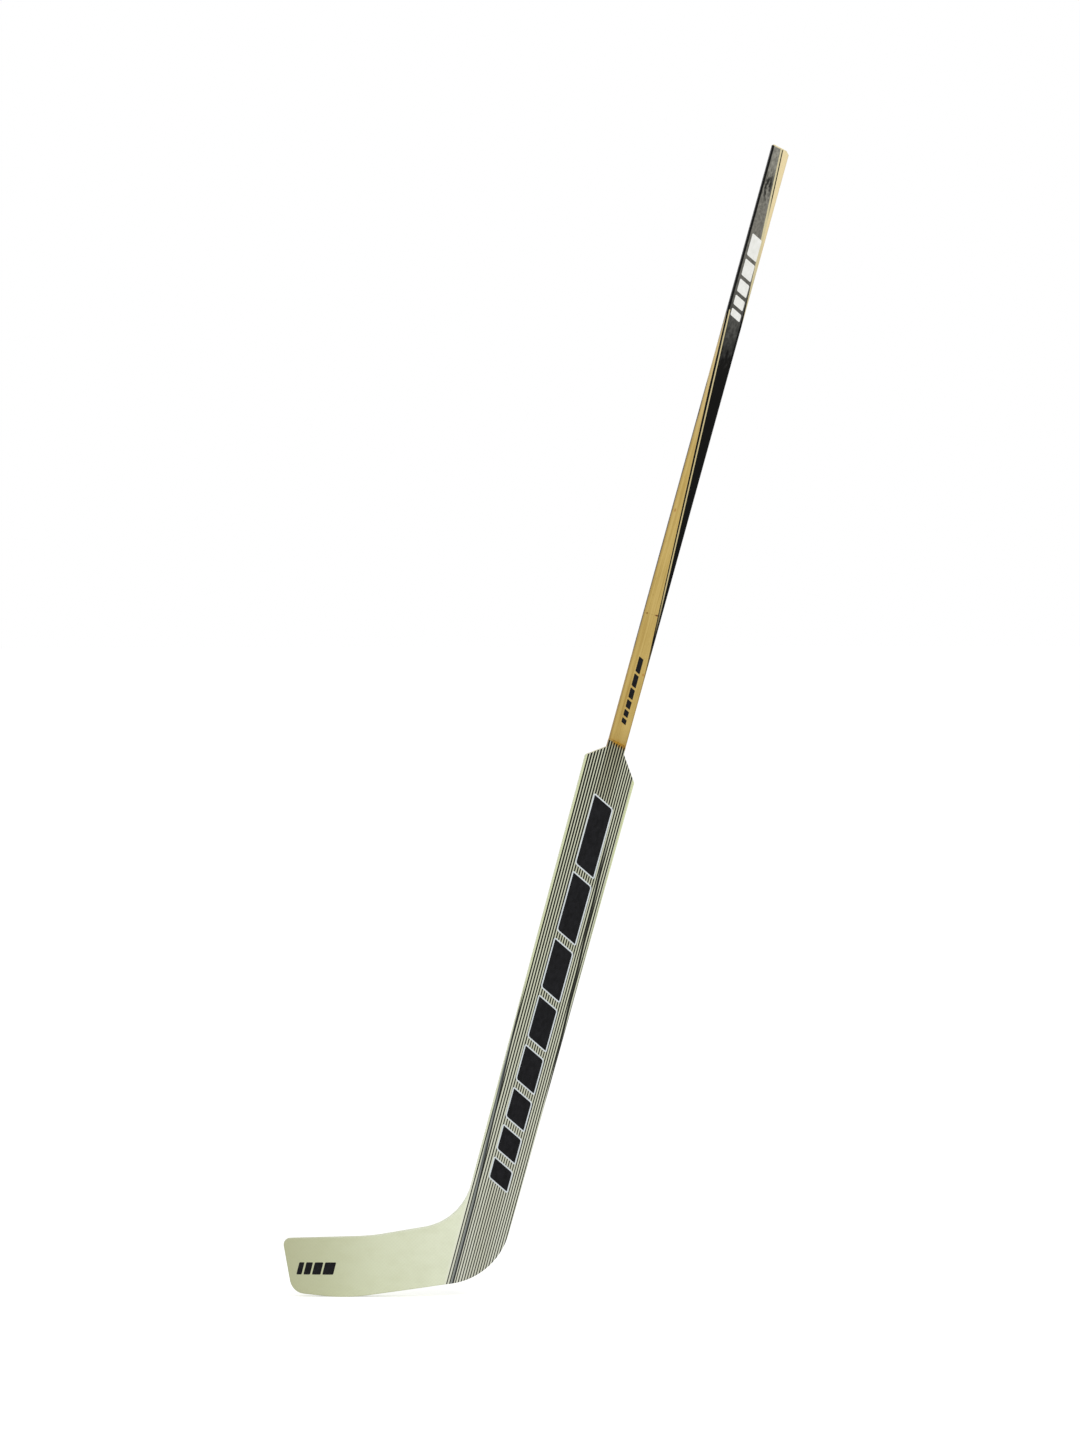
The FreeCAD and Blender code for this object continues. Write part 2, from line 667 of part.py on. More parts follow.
def common(label, *shapes):
    """The space that all the given solids share."""
    piece = doc.addObject("Part::MultiCommon", label)
    piece.Shapes = list(shapes)
    piece.Label = label
    return piece


def make_blade():
    """Core, skins and edge strips of the blade."""
    full, inner = make_blade_prisms()
    half = f"{CORE} / 2"
    bands = {
        "band_full": (f"-{FACE}", "sizes.front_curve", FACE, "sizes.back_curve"),
        "band_front": (
            f"-{FACE}", "sizes.front_curve",
            f"-{half}", "sizes.front_curve - sizes.cloth_thickness",
        ),
        "band_core": (
            f"-{half}", "sizes.front_curve - sizes.cloth_thickness",
            half, "sizes.back_curve + sizes.cloth_thickness",
        ),
        "band_back": (
            half, "sizes.back_curve + sizes.cloth_thickness",
            FACE, "sizes.back_curve",
        ),
    }
    bodies = {label: plan_band(label, *sizes) for label, sizes in bands.items()}
    low = f"(sizes.paddle_length + {DEEP})"
    far = f"(sizes.toe_half_top + sizes.toe_top_reach + {DEEP})"
    region, _ = plate("blade_region", {
        "top_far": toe_point(far, HORN),
        "top_near": toe_point(cloth_line(HORN), HORN),
        "low_near": toe_point(cloth_line(low), low),
        "low_far": toe_point(far, low),
    }, f"{DEEP} / 2", f"{DEEP}")

    root_top = "(sizes.paddle_length - sizes.blade_tongue_top)"
    root_foot = "(sizes.paddle_length - sizes.blade_tongue_foot)"
    tongue, _ = plate("blade_tongue", {
        "root_top": toe_point(f"{cloth_line(root_top)} + sizes.blade_tongue_root", root_top),
        "end_top": toe_point(f"{cloth_line(root_top)} - sizes.blade_tongue_reach", root_top),
        "end_foot": toe_point(f"{cloth_line(root_foot)} - sizes.blade_tongue_reach", root_foot),
        "root_foot": toe_point(f"{cloth_line(root_foot)} + sizes.blade_tongue_root", root_foot),
    }, "sizes.blade_tongue_depth / 2", "sizes.blade_tongue_depth")

    core = doc.addObject("Part::Fuse", "blade_core")
    core.Label = "blade_core"
    core.Base = common("blade_core_filling", inner, bodies["band_core"], region)
    core.Tool = tongue
    front_skin = common("blade_front_skin", inner, bodies["band_front"], region)
    back_skin = common("blade_back_skin", inner, bodies["band_back"], region)

    ring = doc.addObject("Part::Cut", "blade_ring")
    ring.Base = full
    ring.Tool = inner
    foot_x, foot_z = upright(toe_point(CLOTH_FOOT, "sizes.paddle_length"))
    split = f"({foot_z} + sizes.toe_split_rise)"
    toe_x = f"({foot_x} - sizes.toe_top_reach - {SPARE})"
    strips = []
    for label, top, low in (
        ("blade_top_edge", "0", split),
        ("blade_bottom_edge", split, f"({foot_z} - {SOLE_FALL} - {SPARE})"),
    ):
        slab, _ = plate(f"{label}_slab", {
            "top_toe": (toe_x, top),
            "top_heel": (f"{DEEP}", top),
            "low_heel": (f"{DEEP}", low),
            "low_toe": (toe_x, low),
        }, f"{DEEP} / 2", f"{DEEP}", leaning=False)
        square = common(f"{label}_square", ring, bodies["band_full"], region, slab)
        doc.recompute()
        strips.append(bevel_strip(label, square, full, bodies["band_full"]))
    return [core, front_skin, back_skin, *strips]


def bevel_strip(label, square, outline_solid, band):
    """Bevels the outer long edges of a blade edge strip."""
    outer = Part.Compound([f for f in outline_solid.Shape.Faces if abs(face_normal(f).y) < 0.01])
    faces = Part.Compound([f for f in band.Shape.Faces if abs(face_normal(f).y) > 0.5])
    edges = []
    for i, edge in enumerate(square.Shape.Edges, start=1):
        middle = Part.Vertex(edge_middle(edge))
        on_outline = outer.distToShape(middle)[0] < 1e-4
        on_face = faces.distToShape(middle)[0] < 1e-4
        if on_outline and on_face:
            edges.append((i, sheet.blade_bevel, sheet.blade_bevel))
    strip = doc.addObject("Part::Chamfer", label)
    strip.Label = label
    strip.Base = square
    strip.Edges = edges
    return strip


def face_normal(face):
    """Outward direction at the middle of a face."""
    u_low, u_high, v_low, v_high = face.ParameterRange
    return face.normalAt((u_low + u_high) / 2, (v_low + v_high) / 2)


pieces = [
    *make_inner_plies(),
    *make_veneers(),
    *make_foam_cores(),
    *make_shoulder_caps(),
    make_toe_edge(),
    make_heel_edge(),
    make_heel_block(),
    make_heel_wear_strip(),
    *make_cloths(),
    *make_blade(),
]
doc.recompute()

for item in doc.Objects:
    if "Invalid" in item.State or "Error" in item.State:
        raise RuntimeError(f"{item.Name} failed: {item.State}")
for piece in pieces:
    shape = piece.Shape
    if shape.isNull() or not shape.isValid() or len(shape.Solids) != 1:
        raise RuntimeError(f"{piece.Label} is not one valid solid")

os.makedirs("parts", exist_ok=True)
for piece in pieces:
    piece.Shape.exportStep(os.path.join("parts", f"{piece.Label}.step"))
    print(f"{piece.Label}: {piece.Shape.Volume / 1000:.1f} cm3")
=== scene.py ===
import json
import math

import bmesh
import bpy
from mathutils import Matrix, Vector


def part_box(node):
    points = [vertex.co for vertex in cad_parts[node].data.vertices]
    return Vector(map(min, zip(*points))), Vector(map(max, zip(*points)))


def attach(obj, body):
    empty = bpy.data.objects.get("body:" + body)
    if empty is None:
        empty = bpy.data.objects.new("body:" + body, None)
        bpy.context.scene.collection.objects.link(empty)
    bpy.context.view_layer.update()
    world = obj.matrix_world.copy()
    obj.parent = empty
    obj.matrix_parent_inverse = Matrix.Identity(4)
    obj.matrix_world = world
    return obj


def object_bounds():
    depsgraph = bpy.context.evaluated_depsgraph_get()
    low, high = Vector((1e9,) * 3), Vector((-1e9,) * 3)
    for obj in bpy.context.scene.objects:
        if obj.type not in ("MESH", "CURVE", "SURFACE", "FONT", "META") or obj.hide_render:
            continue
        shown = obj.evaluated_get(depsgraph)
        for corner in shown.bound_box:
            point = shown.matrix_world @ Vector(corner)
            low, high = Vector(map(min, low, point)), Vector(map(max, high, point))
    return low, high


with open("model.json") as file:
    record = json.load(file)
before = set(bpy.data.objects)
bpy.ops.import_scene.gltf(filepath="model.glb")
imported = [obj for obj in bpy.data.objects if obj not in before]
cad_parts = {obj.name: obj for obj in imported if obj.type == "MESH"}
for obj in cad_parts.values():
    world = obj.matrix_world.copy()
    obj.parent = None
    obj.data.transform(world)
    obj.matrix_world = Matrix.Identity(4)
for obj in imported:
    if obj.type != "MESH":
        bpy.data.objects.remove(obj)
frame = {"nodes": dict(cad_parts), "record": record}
CAD_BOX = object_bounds()
NODES = frame["nodes"]
MM = 0.001

# Photograph's frame: its size in pixels, the pixel of the neck, and the real size of one pixel there.
IMAGE_WIDTH, IMAGE_HEIGHT = 1080, 1440
NECK_PIXEL = (616.4, 746.0)
PIXEL = 1.305 * MM
VIEW_AZIMUTH = math.radians(-3.0)
VIEW_ELEVATION = math.radians(2.0)
VIEW_DISTANCE = 14.0
SENSOR = 24.0

# Studio: the floor's size, the strength of the world's scattered light, the glow that whitens the floor,
# and the lamps, each with its name, place, size and power.
FLOOR_SIZE = 60.0
WORLD_LIGHT = 0.6
FLOOR_GLOW = 0.5
LAMPS = [
    ("key_softbox", (1.7, -3.0, 2.3), 2.0, 44.0),
    ("fill_softbox", (-2.6, -2.6, 1.0), 2.0, 16.0),
]

# Stick's own direction, read from the grip mount: up the handle, and how far that leans to the heel.
GRIP = next(mount for mount in frame["record"]["mounts"] if mount["name"] == "handle_grip")
UP = Vector(GRIP["axis"]).normalized()
LEAN = math.atan2(UP.x, UP.z)


def along_handle(node):
    """Lowest and highest place of a node's corners along the handle, in metres from the neck."""
    places = [corner.co.dot(UP) for corner in NODES[node].data.vertices]
    return min(places), max(places)


VENEER_JOINT = along_handle("handle_front_veneer_lower")[1]
PADDLE_FOOT = -along_handle("paddle_front_cloth")[0]
PADDLE_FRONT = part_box("paddle_front_cloth")[0].y
HANDLE_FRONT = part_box("handle_front_veneer_upper")[0].y
HANDLE_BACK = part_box("handle_back_veneer")[1].y
BLADE_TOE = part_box("blade_top_edge")[0].x
BLADE_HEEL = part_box("blade_front_skin")[1].x
BLADE_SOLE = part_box("blade_bottom_edge")[0].z

# Cloth: its toe-side border, and the dark yarns that run beside it and draw together towards the heel.
CLOTH_EDGE = 33.83 * MM
CLOTH_TURN = math.radians(0.40)
YARNS_PER_METRE = 1 / (3.78 * MM)
YARNS_CLOSING_ACROSS = 337.0
YARNS_CLOSING_DOWN = 22.4
# The count of yarns at the border, how far a yarn sways, and how soft its edges are.
YARN_START = -0.30
YARN_SWAY = 0.5 * MM
YARN_SOFT = 0.04
# A dark yarn's half width at the border, as a share of the spacing, and how that changes per metre
# across. Both are given at the neck and at the foot of the paddle.
YARN_HALF = (0.312, 0.19)
YARN_WIDENING = (-0.45, 0.2)
# Where the cloth starts to look rubbed and where it is fully so, in metres down.
CLOTH_RUBBED = (0.30, 0.72)
# Where the handle's wood shows through: its full and outer half width, and how far down it fades.
WOOD_BEHIND = (9 * MM, 13 * MM)
WOOD_BEHIND_FADE = (10 * MM, 110 * MM)
# Wide dark lines that drift across the yarns: where each would start at the neck, in millimetres from
# the border, its drift per metre down, how far it drifts at most, where it starts to fade in, is full,
# starts to fade out and is gone, in metres down, and its layers. A layer has its place beside the line,
# a full and an outer half width, all in millimetres, its strength and its colour. The first line runs on
# past the foot of the paddle.
DRIFTING_LINES = [
    (-14.2, 0.0365, 8.6, (0.28, 0.32, 0.80, 0.85), (
        # The first line's blue-grey layer is a painted sheen beside its black core.
        (-2.0, 1.0, 2.0, 0.75, "#6a7074"), (0.0, 0.6, 1.3, 0.95, "#17181a"),
    )),
    (50.3, 0.0325, 64.5, (0.11, 0.16, 0.45, 0.48), (
        (0.0, 1.2, 1.9, 0.95, "#131410"),
    )),
]
# Paler resin beside the cloth on the blade: where it starts and is full, from the border.
BORDER_RESIN = (-3.4 * MM, -1.4 * MM)
# End of the cloth on the handle, a slanted line: its height on the axis and its fall towards the heel.
# Amber resin lies along it, but hardly on the toe side: it comes in between two places across.
CLOTH_END = 2.9 * MM
CLOTH_END_FALL = 0.2167
AMBER_FROM = -9.5 * MM
AMBER_TO = -4.5 * MM
# Amber that has crept up the wood: how far its ragged border rises, and its layers. A layer has the
# heights on the axis where it starts and is full before that rise, in millimetres, its share and its
# colour.
AMBER_RAGGED = 11 * MM
AMBER_LAYERS = [
    (24.0, 2.0, 0.35, "#98793a"),
    (4.5, -3.0, 0.6, "#b08428"),
    (-1.0, -2.6, 0.85, "#b88408"),
]
# How far below the end of the cloth the amber on it starts, and is full.
AMBER_ON_CLOTH = (5 * MM, 1.5 * MM)

# Wood of the handle: the heights between which painted light makes it paler, where painted shade turns
# its rounded edges tan, from the axis, and the length over which that painted shade fades out below the
# upper end of the stripe.
WOOD_PAINTED_LIGHT = (380 * MM, 740 * MM)
WOOD_EDGE_SHADE = (10.0 * MM, 11.6 * MM)
EDGE_SHADE_FADE = 40 * MM
# Half thickness of the glue line in the cross joint.
GLUE_LINE = 0.4 * MM
# Painted band that crosses the handle, from its toe-side border to its heel-side border: the one or two
# straight lines of each border, each with its slant and where it lies across the slant in millimetres,
# and what shows beyond them. The band goes on round the handle with a slope of its own. Each paint is
# worn off at the band's low end, between two places along the handle, in millimetres.
BAND_BORDERS = [
    ([(0.0490, 15.55), (0.0357, 9.15)], "black"),
    ([(0.0427, 15.50)], "cream"),
    ([(0.0427, 17.15)], "black"),
    ([(0.0530, 42.40)], "cream"),
    ([(0.0530, 44.55)], "thin black"),
    ([(0.0530, 45.90)], "wood"),
]
BAND_WRAP = 0.12
BAND_WORN = {
    "black": (65.0, 140.0), "cream": (150.0, 215.0), "thin black": (712.0, 745.0), "wood": (65.0, 140.0),
}
# Black stripe on the toe-side narrow face: where it starts and ends along the handle, its half width,
# how far its edge wavers, and how ragged the brush left its ends.
STRIPE_START = VENEER_JOINT - 50 * MM
STRIPE_END = 492 * MM
STRIPE_HALF = 7.2 * MM
STRIPE_WAVER = 8 * MM
STRIPE_RAGGED = 60 * MM
# Where the paint also covers the toe-side corner: its start along the handle, the length over which its
# border slants, and that border's place across, at the start and further up.
CORNER_START = 588 * MM
CORNER_SLANT = 34 * MM
CORNER_BORDER = (-7.7 * MM, -9.3 * MM)
# Painted sheen on the black paint, a grey reflection painted on its flat face towards the butt end: the
# heights between which it comes, how ragged it is, its colours, the half width of the flat face that it
# lies on, and where it ends towards the corners.
SHEEN_HEIGHTS = (520 * MM, 870 * MM)
SHEEN_RAGGED = 90 * MM
SHEEN_COLOURS = [
    (0.0, "#060605"), (0.13, "#0d0c0b"), (0.26, "#484845"), (0.55, "#706e67"), (1.0, "#8e8c82"),
]
SHEEN_FLAT = (8.8 * MM, 9.6 * MM)
# Scuffed patch in that painted sheen: millimetres across and along, half width and height.
SCUFFED_PATCH = (-3.5, 756.0, 7.5, 24.0)
# A face that looks this much along the handle is the sawn butt end.
SAWN_FACING = 0.35
# Marks in the wood: millimetres across and along, half width and height, strength and colour.
WOOD_MARKS = [
    (-7.9, VENEER_JOINT / MM, 1.1, 1.5, 0.85, "#7a4a16"),
    (5.4, VENEER_JOINT / MM, 2.6, 1.2, 0.9, "#5e1d08"),
    (-8.2, 317.0, 1.3, 2.8, 0.6, "#a8622c"),
    (8.7, 98.6, 1.5, 2.0, 0.6, "#b3722c"),
]

# Printed rows: the ink's thickness and how deep it is set in, how far each block's ends slope down
# towards the heel, and the rounding of its corners, as a share of its half width, and on the blade.
INK = 0.10 * MM
SUNK = 0.03 * MM
BLOCK_SLOPE = 0.48
BLOCK_ROUND = 0.22
BLADE_BLOCK_ROUND = 1.2 * MM


def linear(hex_code):
    """An sRGB hex colour as the linear RGBA that Blender's sockets hold."""
    channels = [int(hex_code[i:i + 2], 16) / 255 for i in (1, 3, 5)]
    return (*[c / 12.92 if c <= 0.04045 else ((c + 0.055) / 1.055) ** 2.4 for c in channels], 1.0)


def add(tree, kind, inputs=None, **settings):
    """Adds one node: its settings are set, and each input gets a link or a plain value."""
    node = tree.nodes.new(kind)
    for name, value in settings.items():
        setattr(node, name, value)
    for key, value in (inputs or {}).items():
        if isinstance(value, bpy.types.Node):
            value = next(socket for socket in value.outputs if socket.enabled)
        if isinstance(value, bpy.types.NodeSocket):
            tree.links.new(value, node.inputs[key])
        else:
            node.inputs[key].default_value = value
    return node


def set_stops(node, stops):
    """Gives a colour ramp its stops, each a place from 0 to 1 and a hex colour."""
    elements = node.color_ramp.elements
    while len(elements) < len(stops):
        elements.new(1.0)
    for element, (place, colour) in zip(elements, stops):
        element.position = place
        element.color = linear(colour)
    return node


def cells(*sizes):
    """Mapping scale for a pattern whose cells have the given real sizes in millimetres."""
    return tuple(1 / (size * MM) for size in sizes)


def new_material(name):
    """An empty material with its tree, shader and output."""
    material = bpy.data.materials.new(name)
    material.use_nodes = True
    tree = material.node_tree
    tree.nodes.clear()
    shader = add(tree, "ShaderNodeBsdfPrincipled")
    add(tree, "ShaderNodeOutputMaterial", {"Surface": shader})
    return material, tree, shader


def place_on_stick(tree, turn=LEAN, shift=(0.0, 0.0, 0.0)):
    """The point's place in the stick's own frame: across, depth and along, in metres."""
    texture = add(tree, "ShaderNodeTexCoord")
    return add(tree, "ShaderNodeMapping", {
        "Vector": texture.outputs["Object"], "Rotation": (0.0, -turn, 0.0), "Location": shift,
    })


def finish_surface(tree, shader, colour, roughness, height, relief):
    """Ends a material: its colour, a roughness that varies, and a bump of a real depth in metres."""
    bump = add(tree, "ShaderNodeBump", {"Strength": 0.6, "Distance": relief, "Height": height})
    for socket, node in (("Base Color", colour), ("Roughness", roughness), ("Normal", bump)):
        output = next(s for s in node.outputs if s.enabled)
        tree.links.new(output, shader.inputs[socket])


def wood_colour(tree, place, tones):
    """Sliced wood: straight grain along the handle, broad pale and dark patches, a few short flecks."""
    streaks = add(tree, "ShaderNodeTexNoise", {
        "Vector": add(tree, "ShaderNodeMapping", {"Vector": place, "Scale": cells(1.8, 6.0, 130.0)}),
        "Scale": 1.0, "Detail": 5.0, "Roughness": 0.6,
    })
    patches = add(tree, "ShaderNodeTexNoise", {
        "Vector": add(tree, "ShaderNodeMapping", {"Vector": place, "Scale": cells(14.0, 14.0, 55.0)}),
        "Scale": 1.0, "Detail": 2.0,
    })
    mixed = add(tree, "ShaderNodeMath", {0: patches, 1: 0.55, 2: streaks}, operation="MULTIPLY_ADD")
    ranged = add(tree, "ShaderNodeMapRange", {"Value": mixed, "From Min": 0.45, "From Max": 1.12})
    dark, middle, pale = tones
    tone = set_stops(add(tree, "ShaderNodeValToRGB", {"Fac": ranged}), [
        (0.1, dark), (0.5, middle), (0.9, pale),
    ])
    flecks = add(tree, "ShaderNodeTexNoise", {
        "Vector": add(tree, "ShaderNodeMapping", {"Vector": place, "Scale": cells(0.9, 3.0, 9.0)}),
        "Scale": 1.0, "Detail": 1.0,
    })
    fleck_cover = add(tree, "ShaderNodeMapRange", {
        "Value": flecks, "From Min": 0.70, "From Max": 0.80, "To Max": 0.45,
    })
    colour = add(tree, "ShaderNodeMix", {
        "Factor": fleck_cover, "A": tone, "B": linear("#8a6630"),
    }, data_type="RGBA")
    return colour, streaks


def spot(tree, place, across, along, wide, tall):
    """Distance from a place on the handle, given in millimetres, as a share of an oval's half sizes."""
    scale = (1 / (wide * MM), 0.0, 1 / (tall * MM))
    oval = add(tree, "ShaderNodeMapping", {
        "Vector": place, "Scale": scale, "Location": (-across / wide, 0.0, -along / tall),
    })
    return add(tree, "ShaderNodeVectorMath", {0: oval}, operation="LENGTH").outputs["Value"]


def crept_amber(tree, place, colour):
    """Lays the amber resin that has crept up from the end of the cloth over the wood."""
    across, _, along = add(tree, "ShaderNodeSeparateXYZ", {"Vector": place}).outputs
    above_slant = add(tree, "ShaderNodeMath", {
        0: across, 1: CLOTH_END_FALL, 2: along,
    }, operation="MULTIPLY_ADD")
    ragged = add(tree, "ShaderNodeTexNoise", {
        "Vector": add(tree, "ShaderNodeMapping", {"Vector": place, "Scale": cells(3.0, 3.0, 9.0)}),
        "Scale": 1.0, "Detail": 2.0,
    })
    creep = add(tree, "ShaderNodeMath", {
        0: ragged, 1: -AMBER_RAGGED, 2: above_slant,
    }, operation="MULTIPLY_ADD")
    amber_side = add(tree, "ShaderNodeMapRange", {
        "Value": across, "From Min": AMBER_FROM, "From Max": AMBER_TO, "To Min": 0.25,
    })
    for start, end, share, tint in AMBER_LAYERS:
        amber = add(tree, "ShaderNodeMapRange", {
            "Value": creep, "From Min": start * MM, "From Max": end * MM,
            "To Max": add(tree, "ShaderNodeMath", {0: amber_side, 1: share}, operation="MULTIPLY"),
        })
        colour = add(tree, "ShaderNodeMix", {
            "Factor": amber, "A": colour, "B": linear(tint),
        }, data_type="RGBA")
    return colour


def side_paint(tree, place):
    """Where the toe-side narrow face is black: a stripe brushed on with a wavering edge and ragged ends,
    and near the butt end the whole side with its corner."""
    across, depth, along = add(tree, "ShaderNodeSeparateXYZ", {"Vector": place}).outputs
    waver = add(tree, "ShaderNodeTexNoise", {
        "Vector": add(tree, "ShaderNodeMapping", {"Vector": place, "Scale": cells(80.0, 80.0, 26.0)}),
        "Scale": 1.0, "Detail": 3.0,
    })
    from_middle = add(tree, "ShaderNodeMath", {0: depth}, operation="ABSOLUTE")
    wavered = add(tree, "ShaderNodeMath", {
        0: waver, 1: STRIPE_WAVER, 2: from_middle,
    }, operation="MULTIPLY_ADD")
    stripe = add(tree, "ShaderNodeMath", {
        0: wavered, 1: STRIPE_HALF + STRIPE_WAVER / 2,
    }, operation="LESS_THAN")
    bristles = add(tree, "ShaderNodeTexNoise", {
        "Vector": add(tree, "ShaderNodeMapping", {"Vector": place, "Scale": cells(2.0, 2.0, 60.0)}),
        "Scale": 1.0, "Detail": 2.0,
    })
    brushed = add(tree, "ShaderNodeMath", {
        0: bristles, 1: STRIPE_RAGGED, 2: along,
    }, operation="MULTIPLY_ADD")
    for end, operation in ((STRIPE_START, "GREATER_THAN"), (STRIPE_END, "LESS_THAN")):
        within = add(tree, "ShaderNodeMath", {
            0: brushed, 1: end + STRIPE_RAGGED / 2,
        }, operation=operation)
        stripe = add(tree, "ShaderNodeMath", {0: stripe, 1: within}, operation="MULTIPLY")
    on_side = add(tree, "ShaderNodeMath", {0: across, 1: CORNER_BORDER[1]}, operation="LESS_THAN")
    side_stripe = add(tree, "ShaderNodeMath", {0: stripe, 1: on_side}, operation="MULTIPLY")
    corner_border = add(tree, "ShaderNodeMapRange", {
        "Value": along, "From Min": CORNER_START, "From Max": CORNER_START + CORNER_SLANT,
        "To Min": CORNER_BORDER[0], "To Max": CORNER_BORDER[1],
    })
    in_corner = add(tree, "ShaderNodeMath", {0: across, 1: corner_border}, operation="LESS_THAN")
    above_start = add(tree, "ShaderNodeMath", {0: along, 1: CORNER_START}, operation="GREATER_THAN")
    corner = add(tree, "ShaderNodeMath", {0: in_corner, 1: above_start}, operation="MULTIPLY")
    return add(tree, "ShaderNodeMath", {0: side_stripe, 1: corner}, operation="MAXIMUM")


def black_with_painted_sheen(tree, place, sheen_and_roughness_noise, scuffs):
    """Black paint with a painted sheen: a grainy grey reflection painted on the flat of the handle
    towards the butt end, with a scuffed dark patch."""
    across, _, along = add(tree, "ShaderNodeSeparateXYZ", {"Vector": place}).outputs
    sheen_height = add(tree, "ShaderNodeMath", {
        0: sheen_and_roughness_noise, 1: SHEEN_RAGGED, 2: along,
    }, operation="MULTIPLY_ADD")
    sheen_share = add(tree, "ShaderNodeMapRange", {
        "Value": sheen_height, "From Min": SHEEN_HEIGHTS[0], "From Max": SHEEN_HEIGHTS[1],
    })
    # Painted sheen: grey reflection colours that rise towards the butt end.
    painted_sheen = set_stops(add(tree, "ShaderNodeValToRGB", {"Fac": sheen_share}), SHEEN_COLOURS)
    grain = add(tree, "ShaderNodeTexNoise", {
        "Vector": add(tree, "ShaderNodeMapping", {"Vector": place, "Scale": cells(2.2, 6.0, 3.5)}),
        "Scale": 1.0, "Detail": 2.0,
    })
    painted_sheen = add(tree, "ShaderNodeHueSaturation", {
        "Color": painted_sheen,
        "Value": add(tree, "ShaderNodeMapRange", {
            "Value": grain, "From Min": 0.3, "From Max": 0.7, "To Min": 0.7, "To Max": 1.3,
        }),
    })
    in_patch = add(tree, "ShaderNodeMapRange", {
        "Value": spot(tree, place, *SCUFFED_PATCH),
        "From Min": 0.4, "From Max": 1.1, "To Min": 0.95, "To Max": 0.0,
    })
    scuff_cover = add(tree, "ShaderNodeMath", {
        0: add(tree, "ShaderNodeMapRange", {"Value": scuffs, "From Min": 0.42, "From Max": 0.52}),
        1: in_patch,
    }, operation="MULTIPLY")
    painted_sheen = add(tree, "ShaderNodeMix", {
        "Factor": scuff_cover, "A": painted_sheen, "B": linear("#1e1d1b"),
    }, data_type="RGBA")
    # The painted sheen lies only on the flat face, not on the rounded corners.
    flat = add(tree, "ShaderNodeMapRange", {
        "Value": add(tree, "ShaderNodeMath", {0: across}, operation="ABSOLUTE"),
        "From Min": SHEEN_FLAT[0], "From Max": SHEEN_FLAT[1], "To Min": 1.0, "To Max": 0.0,
    })
    return add(tree, "ShaderNodeMix", {
        "Factor": flat, "A": linear("#070706"), "B": painted_sheen,
    }, data_type="RGBA")


def painted_band(tree, place, colour, paints):
    """Lays the slanted band over the wood, border by border from the toe side."""
    across, depth, along = add(tree, "ShaderNodeSeparateXYZ", {"Vector": place}).outputs
    behind = add(tree, "ShaderNodeMath", {0: depth, 1: HANDLE_FRONT}, operation="SUBTRACT")
    wrapped = add(tree, "ShaderNodeMath", {0: behind, 1: BAND_WRAP, 2: across}, operation="MULTIPLY_ADD")
    for lines, paint in BAND_BORDERS:
        worn_from, worn_to = BAND_WORN[paint]
        cover = add(tree, "ShaderNodeMapRange", {
            "Value": along, "From Min": worn_from * MM, "From Max": worn_to * MM,
        })
        for slant, line in lines:
            slanted = add(tree, "ShaderNodeMath", {
                0: along, 1: slant, 2: wrapped,
            }, operation="MULTIPLY_ADD")
            beyond = add(tree, "ShaderNodeMath", {0: slanted, 1: line * MM}, operation="GREATER_THAN")
            cover = add(tree, "ShaderNodeMath", {0: cover, 1: beyond}, operation="MULTIPLY")
        colour = add(tree, "ShaderNodeMix", {
            "Factor": cover, "A": colour, "B": paints[paint],
        }, data_type="RGBA")
    return colour


